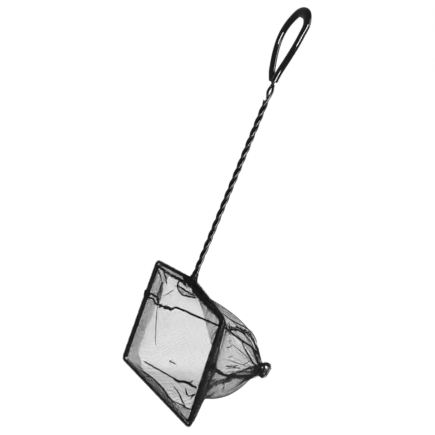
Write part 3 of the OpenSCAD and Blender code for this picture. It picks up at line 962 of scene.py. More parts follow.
@dataclass
class BagForm:
    """The bag's outer form: a rounded four-sided cross-section that tapers to its end.

    Angles are in degrees from +X towards +Z, and tables go by the share of the bag's depth.

    Attributes:
        wire: the wire that the bag is sewn to.
        start, depth: millimetres behind the mouth where the form starts and ends.
        sag, sag_angle, sag_width: how far its underside sags, where, and over what angle.
        sag_rise, sag_fall: shares of depth between which the sag grows and dies away.
        upper_lift, lower_lift: millimetres above the plain form at the upper and lower right.
        upper_angle: where the upper one is highest, in radians.
        corner_lift, corner_width: millimetres that the netting is pulled up at the lower right
            corner, where it is bunched on the side bar, and over what angle.
        right, left, top, bottom: half widths, and heights below the top corners, as shares.
        power: how square the cross-section is.
        seam_right, seam_left: angles of the two seams.
    """

    wire: Wire
    start: float = 6.35
    depth: float = 134.0
    sag: float = 6.3
    sag_angle: float = 318.0
    sag_width: float = 26.0
    sag_rise: tuple[float, float] = (0.2, 0.6)
    sag_fall: tuple[float, float] = (0.62, 0.95)
    upper_angle: float = 1.1
    corner_width: float = 11.0
    upper_lift: Table = ((0, 0), (0.15, -2.5), (0.3, -1), (0.45, 1), (0.65, 3), (0.8, 2.5), (1, 0))
    lower_lift: Table = ((0, 0), (0.1, 4), (0.25, 6), (0.4, 4), (0.6, 1), (1, 0))
    corner_lift: Table = ((0, 0), (0.03, 8), (0.06, 13), (0.12, 12), (0.25, 6), (0.4, 0), (1, 0))
    right: Table = (
        (-0.05, 1), (0, 0.995), (0.08, 0.89), (0.2, 0.78), (0.38, 0.66), (0.56, 0.53), (0.74, 0.37),
        (0.88, 0.2), (1, 0.06),
    )
    left: Table = (
        (-0.05, 1), (0, 1), (0.08, 0.97), (0.2, 0.91), (0.38, 0.78), (0.56, 0.62), (0.74, 0.43),
        (0.88, 0.24), (1, 0.06),
    )
    top: Table = (
        (-0.05, 0), (0, 0.005), (0.08, 0.07), (0.2, 0.12), (0.38, 0.17), (0.56, 0.25), (0.74, 0.37),
        (0.88, 0.52), (1, 0.67),
    )
    bottom: Table = (
        (-0.05, 1), (0, 1), (0.08, 0.99), (0.2, 0.98), (0.38, 0.955), (0.56, 0.92), (0.74, 0.87),
        (0.88, 0.835), (1, 0.8),
    )
    power: Table = (
        (-0.05, 30), (0, 12), (0.08, 7), (0.2, 4.5), (0.38, 3.2), (0.56, 2.6), (0.74, 2.3),
        (0.88, 2.1), (1, 2),
    )
    seam_right: Table = ((0, 10), (0.27, -3), (0.55, -9), (0.89, 2), (1, 6))
    seam_left: Table = ((0, 165), (0.21, 163), (0.51, 158), (0.78, 152), (1, 146))

    def share(self, depth: Array | float) -> Array:
        """Share of the bag's depth at a distance in millimetres behind the mouth."""
        return (np.asarray(depth, float) - self.start) / (self.depth - self.start)

    def at(self, angle: Array | float, share: Array, inset: Array | float = 0.0) -> Array:
        """Places on the bag.

        The cross-section is a superellipse: reach = (|cos|^p + |sin|^p)^(-1/p) at an angle,
        times half the width across and half the height up. A trapezoid term narrows the
        top, and a roof term lifts it towards the neck.

        Args:
            angle: degrees round it from +X towards +Z.
            share: share of its depth.
            inset: millimetres in from it.

        Returns:
            The places, in the net's frame.
        """
        angle, share = np.broadcast_arrays(np.radians(angle), share)
        c, s = np.cos(angle), np.sin(angle)
        p = read_off(self.power, share)
        reach = (np.abs(c) ** p + np.abs(s) ** p) ** (-1 / p)
        across, up = reach * c, reach * s
        mouth = self.wire
        half = (mouth.top_w + mouth.bottom_w) / 4
        wide = half * np.where(c > 0, read_off(self.right, share), read_off(self.left, share))
        high = -mouth.peak - mouth.height * read_off(self.top, share)
        low = -mouth.peak - mouth.height * read_off(self.bottom, share)
        turned = (np.degrees(angle) - self.sag_angle + 180) % 360 - 180
        under = np.exp(-((turned / self.sag_width) ** 2))
        sag = self.sag * under * soft_step(*self.sag_rise, share) * (1 - soft_step(*self.sag_fall, share))
        low = low - sag + read_off(self.lower_lift, share) * under
        low = low + read_off(self.corner_lift, share) * np.exp(-((turned / self.corner_width) ** 2))
        high = high + read_off(self.upper_lift, share) * np.cos(angle - self.upper_angle).clip(0) ** 2
        near = 1 - np.clip(share, 0, 1)
        flare = 1 - (mouth.bottom_w - mouth.top_w) / (2 * half) * near * up / 2
        roof = mouth.peak * near**3 * (1 - np.abs(across)) * np.maximum(0, up)
        x, y = (wide - inset) * across * flare, self.start + share * (self.depth - self.start)
        z = (high + low) / 2 + ((high - low) / 2 - inset) * up + roof
        return mouth.placed(np.stack([x, y, z], -1))

    def facing(self, angle: Array, share: Array) -> Array:
        """The way the bag's wall faces inwards, from its slopes round it and along it.

        Args:
            angle: degrees round the bag.
            share: share of its depth.

        Returns:
            The directions.
        """
        round_it = self.at(angle + 0.5, share) - self.at(angle - 0.5, share)
        along = self.at(angle, share + 0.004) - self.at(angle, share - 0.004)
        return unit(np.cross(round_it, along))

    def per_degree(self, angle: float) -> float:
        """Millimetres along the mouth's wire for a degree of angle."""
        here, there = (self.at(angle + d, self.share(0.0)) for d in (-0.5, 0.5))
        return float(np.linalg.norm(there - here)) / MM

    def along(self, low: float, high: float, count: int) -> tuple[Array, Array]:
        """Places evenly far apart along the mouth, 2 mm behind it.

        Args:
            low, high: the angles where they start and end.
            count: how many.

        Returns:
            Their angles, and their distances in millimetres.
        """
        angle = np.linspace(low, high, 600)
        far = travelled(self.at(angle, self.share(2.0)) / MM)
        want = np.linspace(0, far[-1], count)
        return np.interp(want, far, angle), want


@dataclass
class NettingBag:
    """The bag's two sewn panels, slack between their seams and gathered at the end.

    Attributes:
        form, mouth: the bag's form, and millimetres behind the mouth where the panels start.
        rows, cols: places along and across a panel.
        gather, broad, pleat: how far in the gathers behind the hem, the slack of the middle
            and the pleats of the end stand, in millimetres.
        gather_waves, broad_waves, pleat_waves: how those three vary round the bag.
        drawn_upper, drawn_lower: how thick the panels' threads show across them.
    """

    form: BagForm
    mouth: float = 1.7
    rows: int = 150
    cols: int = 240
    gather: float = 0.7
    broad: float = 1.4
    pleat: float = 2.6
    gather_waves: Table = ((0.6, 61, 0.1), (0.4, 97, 0.4))
    broad_waves: Table = ((0.9, 5, 0.2), (0.6, 9, 0.7))
    pleat_waves: Table = ((0.75, 13, 0.05), (0.45, 22, 0.5), (0.2, 5, 0))
    drawn_upper: Table = ((0, 0.6), (0.3, 0.55), (0.55, 0.6), (0.7, 1.1), (0.85, 1.45), (1, 1.45))
    drawn_lower: Table = ((0, 1.45), (0.3, 1.5), (0.6, 1.5), (0.8, 1.0), (1, 1.1))

    def slack(self, angle: Array, share: Array) -> Array:
        """How far the netting stands in from the form, in millimetres.

        Small gathers die away behind the hem, broad slack waves cross the middle, and
        pleats as deep as the gathers at the end grow over the last third.

        Args:
            angle: degrees round the bag.
            share: share of its depth.

        Returns:
            The distances.
        """
        turn = angle / 360
        near = np.exp(-np.maximum(share, 0) * 11) * soft_step(-0.035, 0.03, share)
        gathers = near * self.gather * (1 + ripple(turn, self.gather_waves))
        middle = soft_step(0.02, 0.3, share) * (1 - soft_step(0.85, 1, share))
        vary = 1 + 0.4 * np.sin(9 * share + turn * 20)
        broad = middle * (self.broad + ripple(turn + 0.12 * share, self.broad_waves) * vary)
        depth = self.pleat * soft_step(0.5, 0.92, share)
        return gathers + broad + depth * (1 + ripple(turn + 0.03 * share, self.pleat_waves))

    def cloth(self, low: Array, high: Array, shares: Array) -> Cloth:
        """The cloth between two seams.

        Args:
            low, high: the seams' angles at each share.
            shares: the shares of depth, one a row.

        Returns:
            The cloth, its rows across it.
        """
        angle = low[:, None] + (high - low)[:, None] * np.linspace(0, 1, self.cols)
        share = np.broadcast_to(shares[:, None], angle.shape)
        return Cloth(self.form.at(angle, share, self.slack(angle, share)))

    def build(self) -> None:
        """Make the upper and the lower panel, each from seam to seam."""
        shares = np.linspace(self.form.share(self.mouth), 1, self.rows)
        right, left = (read_off(seam, shares) for seam in (self.form.seam_right, self.form.seam_left))
        for side, low, high, drawn in (
            ("upper", right, left, self.drawn_upper),
            ("lower", left, right + 360, self.drawn_lower),
        ):
            cloth, node = self.cloth(low, high, shares), f"bag_{side}_panel"
            net_piece(f"netting_{side}", [cloth], (node,), drawn, WALL_NET)


# A pleat's places are this many millimetres apart, and a layer of it has this many rows
PLEAT_STEP, LAYER_ROWS = 0.7, 6
# How a pleat's width and its middle wander, as shares of its width
PLEAT_SWELL = ((0.1, 1 / 7, 0.1), (0.08, 1 / 3.1, 0.6))
PLEAT_SWAY = ((0.1, 1 / 11, 0.3), (0.06, 1 / 4.7, 0.8))


@dataclass(frozen=True)
class Pleat:
    """Netting laid to and fro along a line on the bag: a dart, a fold or a rolled edge.

    Attributes:
        line: angle in degrees and share of depth of its places on the bag, in order.
        width: millimetres across at its widest.
        layers: how many times the netting lies over itself.
        ends: the width at the two ends, as shares of the widest.
        inset: millimetres in from the bag's form.
        gap: millimetres between layers.
    """

    line: Table
    width: float
    layers: int
    ends: tuple[float, float] = (0.2, 0.2)
    inset: float = 0.8
    gap: float = 0.18

    def count(self, knots: Array) -> int:
        """How many places the line takes."""
        return 8 + int(travelled(knots)[-1] / (PLEAT_STEP * MM))

    def course(self, form: BagForm) -> tuple[Array, Array]:
        """The line in its place.

        Args:
            form: the bag's form.

        Returns:
            The line, and the way that the bag faces inwards along it.
        """
        knots = np.array(self.line)
        at = spline(knots, self.count(form.at(knots[:, 0], knots[:, 1])))
        return form.at(at[:, 0], at[:, 1], self.inset), form.facing(at[:, 0], at[:, 1])

    def cloth(self, form: BagForm) -> Cloth:
        """The netting: each place is the line's, and a zigzag across, and the layer's height.

        Args:
            form: the bag's form.

        Returns:
            The cloth.
        """
        path, facing = self.course(form)
        across = unit(np.cross(facing, unit(np.gradient(path, axis=0))))
        far = travelled(path) / MM
        share = far / far[-1]
        least = self.ends[0] + (self.ends[1] - self.ends[0]) * share
        wide = least + (1 - least) * np.sin(math.pi * share.clip(0, 1)).clip(0) ** 0.6
        wide = wide * self.width * (1 + ripple(far, PLEAT_SWELL))
        sway = self.width * ripple(far, PLEAT_SWAY)
        t = np.linspace(0, self.layers, self.layers * LAYER_ROWS + 1)[:, None]
        zigzag = np.abs(t % 2 - 1) - 0.5 + 0.1 * np.sin(1.7 * t + far / 6)
        over = ((wide * zigzag + sway) * MM)[..., None] * across
        return Cloth(path + over + (self.gap * MM * t)[..., None] * facing)


@dataclass(frozen=True)
class LoosePleat(Pleat):
    """A pleat that hangs free: its line is X, Y and Z in millimetres from the neck.

    Attributes:
        faces: the way its layers are stacked.
    """

    faces: tuple[float, float, float] = (0.0, -1.0, 0.0)

    def course(self, form: BagForm) -> tuple[Array, Array]:
        """The line in its place.

        Args:
            form: the bag's form.

        Returns:
            The line, and the way its layers are stacked.
        """
        knots = form.wire.placed(self.line)
        path = spline(knots, self.count(knots))
        return path, np.broadcast_to(unit(np.array(self.faces)), path.shape)


def pleated(
    name: str,
    pleats: list[Pleat],
    form: BagForm,
    replaces: tuple[str, ...] = (),
) -> None:
    """Make one piece of several pleats.

    Args:
        name: the piece's name.
        pleats: its pleats.
        form: the bag's form.
        replaces: the CAD nodes it stands for.
    """
    cloths = [pleat.cloth(form) for pleat in pleats]
    net_piece(name, cloths, replaces, BUNCHED)


def sewn(name: str, shape: Shape, node: str) -> None:
    """Make a piece of sewing thread that stands for a CAD node."""
    put(name, shape, SEWING_THREAD, (node,))


# Corners round a sewn thread, and round the finer one of the hems' stitches
THREAD_SIDES, STITCH_SIDES = 8, 6
# Millimetres that each of a hem's gathers stands in from the one before it
GATHER_STEP = 0.28
# Places along a hem, round its section, and more of those for each of its gathers
HEM_PLACES, SECTION_PLACES, GATHER_PLACES = 320, 90, 8


@dataclass(frozen=True)
class Hem:
    """The netting folded round one side of the mouth and sewn behind the wire.

    It starts behind the wire outside, passes round its front to the inside, runs on as a
    tail, is turned back at the tail's end and ends in gathers on the stitches.

    Attributes:
        side, span: the side's name, and the angles round the mouth where it starts and ends.
        tail, casing: millimetres back to the tail's end and to the stitches, along the side.
        gathers, slack: layers of netting in the casing, and how far they stand up and down.
        stitch, thread: length in millimetres of a stitch with its gap, and its thread's radius.
        dips: millimetres that a stitch stands each way of its middle, and how far in that is.
        droop: degrees that it hangs inwards of straight back, at its start and end.
        fan: degrees more that the last of its gathers hangs inwards, at its start and end.
        drawn: how thick its threads show.
        cut: its section, in rows of a share of the tail, a share of the casing, millimetres
            more and millimetres inwards.
    """

    side: str
    span: tuple[float, float]
    tail: Table
    casing: Table
    gathers: int = 2
    slack: float = 0.35
    stitch: float = 6.0
    thread: float = 0.25
    dips: tuple[float, float] = (1.15, 0.75)
    droop: tuple[float, float] = (0.0, 0.0)
    fan: tuple[float, float] = (0.0, 0.0)
    drawn: float = 1.45
    cut: Table = (
        (0, 1, 0.8, -0.35), (0, 0.5, 0, -1.1), (0, 0, 1.4, -1.6), (0, 0, 0, -2.0), (0, 0, -1.4, -1.4),
        (0, 0, -2.0, 0), (0, 0, -1.4, 1.4), (0, 0, 0, 2.0), (0, 0, 1.5, 1.7), (0, 0.6, 0, 1.3),
        (0, 1, 0.3, 0.9), (0.5, 0, 2, 0.8), (1, 0, 0, 0.7), (1, 0, 0.3, 1.0), (1, 0, -0.4, 1.3),
        (0.5, 0, 2, 1.3), (0.15, 0.9, 0, 1.4),
    )

    def cloth(self, form: BagForm) -> Cloth:
        """The hem's netting, laid by its section: back = tail and casing by their shares.

        Args:
            form: the bag's form.

        Returns:
            The cloth, a row for each place round the section.
        """
        angle, far = form.along(*self.span, HEM_PLACES)
        share = far / far[-1]
        # The gathers turn back near the wire and near the stitches by turns
        fold = [
            (0, (1.1, 0.3)[k % 2] * (1 - 0.3 * up), 0, 1.6 + GATHER_STEP * k * (1 - up / 2), up)
            for k, up in enumerate(np.linspace(0, 1, self.gathers))
        ]
        rows = np.array([(*row, 0) for row in self.cut] + fold)
        cut = spline(rows, SECTION_PLACES + GATHER_PLACES * self.gathers)[:, :, None]
        tail = read_off(self.tail, share) * (1 + ripple(far, ((0.05, 1 / 31, 0.2), (0.03, 1 / 9, 0.5))))
        casing = read_off(self.casing, share)
        depth = cut[:, 0] * tail + cut[:, 1] * casing + cut[:, 2]
        loose = soft_step(0.8, casing, depth) * (1 - 0.7 * soft_step(casing, 2.5 * casing, depth))
        waves = ripple(far, ((0.6, 1 / 3.3, 0.1), (0.4, 1 / 2.1, 0.4), (0.5, 1 / 13, 0.9)))
        inset = cut[:, 3] + self.slack * loose * waves
        back, inwards = self.hung(share, depth, inset, cut[:, 4])
        return Cloth(form.at(angle, form.share(back), inwards))

    def hung(
        self, share: Array, depth: Array, inset: Array, fan: Array | float = 0.0
    ) -> tuple[Array, Array]:
        """Distances back from the wire and inwards, turned about it.

        Args:
            share: shares along the side.
            depth: distances back before the turn.
            inset: distances inwards before the turn.
            fan: shares of the fan, 1 for the last of the gathers.

        Returns:
            The distances back and inwards.
        """
        droop, spread = (low + (high - low) * share for low, high in (self.droop, self.fan))
        turn = np.radians(droop + fan * spread)
        c, s = np.cos(turn), np.sin(turn)
        return depth * c - inset * s, depth * s + inset * c

    def stitches(self, form: BagForm) -> Shape:
        """The running stitch, which dips through the casing once each stitch's length.

        Args:
            form: the bag's form.

        Returns:
            Its thread.
        """
        length = form.along(*self.span, 2)[1][-1]
        angle, far = form.along(*self.span, int(length / 0.35))
        share = far / far[-1]
        dip = np.tanh(2.6 * np.sin(FULL_TURN * far / self.stitch))
        (reach, middle), half = self.dips, GATHER_STEP * self.gathers / 2
        inset = middle + half + (reach + half) * dip
        wander = ripple(far, ((0.25, 1 / 17, 0.3), (0.15, 1 / 5.3, 0.7)))
        back, inwards = self.hung(share, read_off(self.casing, share) + wander, inset)
        return tube(form.at(angle, form.share(back), inwards), self.thread * MM, STITCH_SIDES, BACKWARDS)

    def build(self, form: BagForm) -> None:
        """Make the hem and its stitching.

        Args:
            form: the bag's form.
        """
        name, node = f"hem_netting_{self.side}", f"hem_{self.side}"
        drawn = ((0, self.drawn), (1, self.drawn))
        net_piece(name, [self.cloth(form)], (node,), drawn)
        sewn(f"stitching_{self.side}", self.stitches(form), f"stitches_{self.side}")


@dataclass(frozen=True)
class Knot:
    """Turns of thread round the mouth's wire and hem, with an overhand knot outside.

    Attributes:
        side: left or right.
        angle: where it sits round the mouth.
        turns: how many turns.
        pitch: millimetres from turn to turn.
        middle: the turns' centre, millimetres back from the wire and inwards.
        reach: their half sizes the same two ways.
        thread: the thread's radius in millimetres.
        out: millimetres that the knot lies outside the turns.
        size: the knot's size, in radii of the thread.
    """

    side: str
    angle: float
    turns: int
    pitch: float
    middle: tuple[float, float]
    reach: tuple[float, float]
    thread: float = 0.45
    out: float = 0.9
    size: float = 1.25

    def overhand(self, outside: Array, along: Array) -> Array:
        """An overhand knot's closed curve: (2 + cos 3t)(cos 2t, sin 2t) and sin 3t.

        Args:
            outside: its middle.
            along: the way along the mouth's wire.

        Returns:
            The curve, and a little past its start.
        """
        t = np.linspace(0, FULL_TURN + 0.05, 120)[:, None]
        x, z = unit(along), unit(np.cross(along, BACKWARDS))
        flat = (2 + np.cos(3 * t)) * (np.cos(2 * t) * x + np.sin(2 * t) * BACKWARDS)
        return outside + self.thread * MM * self.size * (flat + 1.3 * np.sin(3 * t) * z)

    def build(self, form: BagForm) -> None:
        """Make the turns and the knot.

        Args:
            form: the bag's form.
        """
        (back, inwards), (deep, high) = self.middle, self.reach
        a = FULL_TURN * np.linspace(0, self.turns, 28 * self.turns)
        far = self.pitch * (a / FULL_TURN - self.turns / 2) + 0.3 * np.sin(2.3 * a)
        swell = 1 + 0.05 * np.sin(1.7 * a)
        depth, inset = back + deep * swell * np.cos(a), inwards + high * swell * np.sin(a)
        turns = form.at(self.angle + far / form.per_degree(self.angle), form.share(depth), inset)
        along = form.at(self.angle + 1, form.share(0.0)) - form.at(self.angle - 1, form.share(0.0))
        outside = form.at(self.angle, form.share(back), inwards - high - self.out)
        across = unit(np.cross(along, BACKWARDS)) + 0.2 * unit(along)
        tubes = (
            (turns, unit(along + 0.3 * BACKWARDS)),
            (self.overhand(outside, along), unit(across)),
        )
        shape = join([tube(path, self.thread * MM, THREAD_SIDES, side) for path, side in tubes])
        sewn(f"knot_{self.side}", shape, f"tie_knot_{self.side}")


@dataclass(frozen=True)
class Seam:
    """A seam of the bag: two twisted threads with the panels' edges bunched over them.

    Attributes:
        side: left or right.
        line: angle and share of depth of its places.
        width: width in millimetres of the bunched edges.
        thread: the threads' radius in millimetres.
        spread: millimetres from the seam's centre to a strand's.
        lay: millimetres in which the strands turn once round each other.
    """

    side: str
    line: Table
    width: float
    thread: float = 0.5
    spread: float = 0.46
    lay: float = 6.0

    def build(self, form: BagForm) -> None:
        """Make the threads and the bunched netting.

        Args:
            form: the bag's form.
        """
        edge = Pleat(self.line, self.width, 5, ends=(0.8, 0.8), inset=0.9, gap=0.25)
        path, facing = edge.course(form)
        at, fine = np.arange(len(path)), np.linspace(0, len(path) - 1, 3 * len(path))
        far = np.interp(fine, at, travelled(path)) / MM
        path, facing = (
            np.stack([np.interp(fine, at, row) for row in rows.T], -1) for rows in (path, facing)
        )
        _, normal, binormal = frames(path, facing)
        strands = []
        for start in (0.0, math.pi):
            a = (FULL_TURN * far / self.lay + start)[:, None]
            off = self.spread * MM * (np.cos(a) * normal + np.sin(a) * binormal)
            strands.append(tube(path + off, self.thread * MM, THREAD_SIDES, facing))
        sewn(f"seam_thread_{self.side}", join(strands), f"seam_cord_{self.side}")
        pleated(f"seam_edges_{self.side}", [edge], form)


HEMS = [
    Hem(
        "top_left", (93.5, 135.3), tail=((0, 9), (0.4, 10), (0.8, 8), (1, 5)),
        casing=((0, 4.5), (0.3, 2.6), (1, 2.4)), drawn=1.2,
    ),
    Hem(
        "left", (134.7, 225.3), tail=((0, 14), (0.25, 17), (0.5, 15), (1, 13)),
        casing=((0, 2.9), (1, 2.6)), gathers=12, drawn=0.8,
    ),
    Hem(
        "bottom", (224.7, 315.3),
        tail=((0, 14), (0.1, 12.5), (0.17, 9.5), (0.3, 11.5), (0.5, 11.5), (0.68, 9), (0.8, 12), (1, 8)),
        casing=((0, 2.6), (1, 2.8)), drawn=1.0,
    ),
    Hem(
        "right", (-45.3, 45.3),
        tail=((0, 4), (0.15, 6), (0.35, 14), (0.5, 23), (0.67, 15), (0.8, 6.5), (1, 3)),
        casing=((0, 3), (0.15, 4.5), (0.3, 6.8), (0.6, 8.5), (0.8, 6), (1, 4)),
        gathers=13, slack=0.5, droop=(4.0, 8.0), fan=(58.0, 50.0), drawn=1.4,
    ),
    Hem(
        "top_right", (44.7, 86.5), tail=((0, 12), (0.5, 13), (1, 12)),
        casing=((0, 5), (0.25, 8), (0.5, 10), (1, 10.5)), gathers=9, slack=0.8, droop=(25.0, 72.0),
    ),
]
SEAM_LINE_LEFT = (
    (163.6, -0.04), (164.1, -0.01), (163.7, 0.032), (165.4, 0.068), (164.7, 0.107), (164.4, 0.146),
    (163.9, 0.197), (163.3, 0.22), (159.9, 0.247), (159.6, 0.288), (159.6, 0.348), (159.9, 0.409),
    (158.5, 0.5), (155.5, 0.6), (150.8, 0.674), (148.5, 0.758), (138.3, 0.83), (117.3, 0.89), (98, 0.95),
)
SEAM_LINE_RIGHT = (
    (10, 0.0), (3, 0.12), (-6, 0.3), (-9, 0.45), (-12, 0.6), (-18, 0.75), (-16, 0.9), (0, 0.98),
)
SEAMS = [Seam("left", SEAM_LINE_LEFT, 2.6, thread=0.6), Seam("right", SEAM_LINE_RIGHT, 3.2)]
KNOTS = [
    Knot("left", 161.0, 5, 1.05, middle=(1.0, 0.2), reach=(3.3, 3.0)),
    Knot("right", 8.0, 7, 1.15, middle=(3.4, 0.9), reach=(6.0, 3.6)),
]
NECK_PLEATS = [
    LoosePleat(((-20, 1, -4), (-9, 1.5, -5.5), (2, 2, -6.5), (12, 3, -6), (20, 3, -8)), 6.5, 8, (0.2, 0.5)),
    LoosePleat(((-14, 5, -5.5), (-4, 6, -6.5), (6, 6, -6.5), (18, 7, -8.5)), 6.0, 6, (0.2, 0.5)),
    Pleat(((104, 0.0), (94, 0.05), (82, 0.06), (70, 0.03)), 7.0, 5, (0.2, 0.4)),
]
# The tuft's layers are stacked across the bag
STACKED_ACROSS = (1.0, 0.0, 0.0)
TUFT_RIM = (
    (0, 126, -93), (0, 132, -94.5), (0, 139.3, -92.8), (0, 142.3, -94.6),
    (0, 143.2, -99.4), (0, 142.2, -104.6), (0, 138, -108.8), (0, 133, -108),
)
TUFT_MIDDLE = ((0, 122, -97), (0, 129, -100.5), (0, 134, -103.5), (0, 136.5, -107))
TUFT_SIDE = ((1, 130, -91), (1, 136, -97), (1, 141, -103), (0, 144.5, -108.5))
END_PLEATS = [
    LoosePleat(TUFT_RIM, 3.9, 8, (0.6, 0.6), gap=0.6, faces=STACKED_ACROSS),
    LoosePleat(TUFT_MIDDLE, 7.0, 9, (0.6, 0.5), gap=0.5, faces=STACKED_ACROSS),
    LoosePleat(TUFT_SIDE, 1.8, 7, (0.7, 0.3), gap=0.4, faces=STACKED_ACROSS),
]


@dataclass
class Sewing:
    """Everything that joins the bag to the wire: hems, seams, knots and lashings.

    Sizes are in millimetres, and places are from the neck.

    Attributes:
        form: the bag's form.
        neck_turns, neck_thread: turns of the neck's lashing, and its thread's radius.
        neck_wide, neck_narrowed, neck_deep: half its width below, how much less that is
            above, and half its depth.
        neck_low, neck_rise: where it starts, and how far up it goes.
        end_turns, end_thread, end_step: the same of the end's tie, and from turn to turn.
        end_wide, end_high, end_back, end_up: its half sizes and its first turn's centre.
    """

    form: BagForm
    neck_turns: int = 9
    neck_thread: float = 0.5
    neck_wide: float = 6.6
    neck_narrowed: float = 3.2
    neck_deep: float = 3.4
    neck_low: float = -4.0
    neck_rise: float = 12.5
    end_turns: int = 3
    end_thread: float = 0.45
    end_wide: float = 3.9
    end_high: float = 6.2
    end_back: float = 133.6
    end_up: float = -101.3
    end_step: float = 1.1

    def neck(self) -> None:
        """Lash the netting to the wire where the handle leaves the mouth."""
        a = FULL_TURN * np.linspace(0, self.neck_turns, 32 * self.neck_turns)
        up = a / a[-1]
        # The turns sway by parts of a millimetre, least at the top
        wide = self.neck_wide - self.neck_narrowed * soft_step(0.2, 0.9, up) + 0.25 * np.sin(2.7 * a)
        x = wide * np.cos(a) - 0.8 * (1 - up)
        y = (self.neck_deep - 0.4 * up) * np.sin(a) + 0.6 * up + 0.5
        z = self.neck_low + self.neck_rise * up + 0.9 * np.sin(a + 1) * (1 - up)
        path = self.form.wire.placed(np.stack([x, y, z], -1))
        lashing = tube(path, self.neck_thread * MM, THREAD_SIDES, UPWARDS)
        sewn("lashing_neck", lashing, "neck_lashing")
        pleated("bunched_neck", NECK_PLEATS, self.form)

    def end(self) -> None:
        """Gather the bag's end into its tuft, and tie it."""
        pleated("gathered_end", END_PLEATS, self.form, replaces=("apex_gather",))
        a = FULL_TURN * np.linspace(0, self.end_turns, 40 * self.end_turns)
        x, z = self.end_wide * np.cos(a), self.end_up + self.end_high * np.sin(a)
        y = self.end_back + self.end_step * a / FULL_TURN + 0.5 * np.sin(a + 0.6)
        path = self.form.wire.placed(np.stack([x, y, z], -1))
        sewn("tie_end", tube(path, self.end_thread * MM, THREAD_SIDES, BACKWARDS), "apex_tie")

    def build(self) -> None:
        """Make all of it."""
        for piece in (*HEMS, *SEAMS, *KNOTS):
            piece.build(self.form)
        self.neck()
        self.end()


# The bag's creases, in rows of width, layers and the widths of both ends, then the line
CREASES_LEFT = (
    ((4.2, 4, 0.2, 0.3), (143.8, 0.057), (148.9, 0.069), (154.7, 0.071), (161.9, 0.084), (166, 0.095)),
    ((1.2, 5, 0.2, 0.2), (143.5, 0.053), (150.1, 0.055), (156.2, 0.054), (163.1, 0.068)),
    ((0.9, 3, 0.2, 0.2), (143.2, 0.057), (148.1, 0.077), (153.5, 0.088), (161, 0.099)),
    ((1.4, 5, 0.9, 0.3), (166.8, 0.095), (172.4, 0.101), (178.3, 0.112), (201.7, 0.163), (212, 0.188)),
    ((1.8, 6, 0.6, 0.3), (139.4, -0.019), (141.6, 0.017), (144.1, 0.047)),
    ((2.0, 6, 0.6, 0.3), (137.3, 0.017), (137.6, 0.047), (139.8, 0.074), (142, 0.097)),
    ((1.5, 5, 0.2, 0.2), (154.2, 0.107), (149, 0.141), (143.1, 0.167)),
    ((1.0, 3, 0.2, 0.2), (140.3, 0.152), (134.7, 0.155)),
    ((0.8, 2, 0.2, 0.2), (186, 0.26), (183.4, 0.299), (182, 0.34)),
    ((1.2, 2, 0.2, 0.2), (188.3, 0.27), (188, 0.309), (187.1, 0.342)),
    ((0.9, 3, 0.2, 0.2), (201.5, 0.412), (206.5, 0.451)),
    ((1.0, 3, 0.2, 0.2), (216.3, 0.464), (215.1, 0.551), (210.8, 0.622)),
    ((0.8, 3, 0.2, 0.2), (210.6, 0.518), (213.7, 0.591)),
    ((2.6, 9, 0.8, 0.9), (158.8, -0.044), (159.9, 0.026), (158.9, 0.064), (164, 0.087)),
    ((5.5, 10, 0.7, 0.7), (164.6, 0.075), (164.8, 0.125)),
    ((4.4, 9, 0.9, 0.6), (164.7, 0.107), (164.4, 0.146), (163.9, 0.197), (163.3, 0.222)),
    ((1.0, 2, 0.2, 0.2), (224, 0.08), (223, 0.15), (223, 0.22)),
    ((2.2, 7, 0.2, 0.2), (224, 0.26), (227, 0.3), (230, 0.34)),
    ((1.0, 3, 0.2, 0.2), (215, 0.51), (214, 0.59)),
)
CREASES_FLOOR = (
    ((2.4, 6, 0.5, 1.0), (228.6, 0.088), (239.3, 0.184), (250.2, 0.243), (256.7, 0.261)),
    ((4.6, 7, 0.5, 0.5), (250.2, 0.243), (256.7, 0.261), (257.2, 0.321), (271.4, 0.363)),
    ((2.4, 6, 0.5, 0.2), (253, 0.25), (256.7, 0.3), (259, 0.35), (256, 0.4)),
    ((2.0, 5, 0.2, 0.2), (269, 0.263), (287.2, 0.203), (286.2, 0.277), (293.6, 0.185)),
    ((2.0, 5, 0.2, 0.2), (264.6, 0.167), (280.3, 0.141), (296, 0.082), (303, 0.05)),
    (
        (2.4, 5, 0.6, 0.6), (238.8, 0), (248.7, 0.04), (266.8, 0.043), (286.4, 0.019), (296.7, 0.053),
        (309, 0.043),
    ),
)
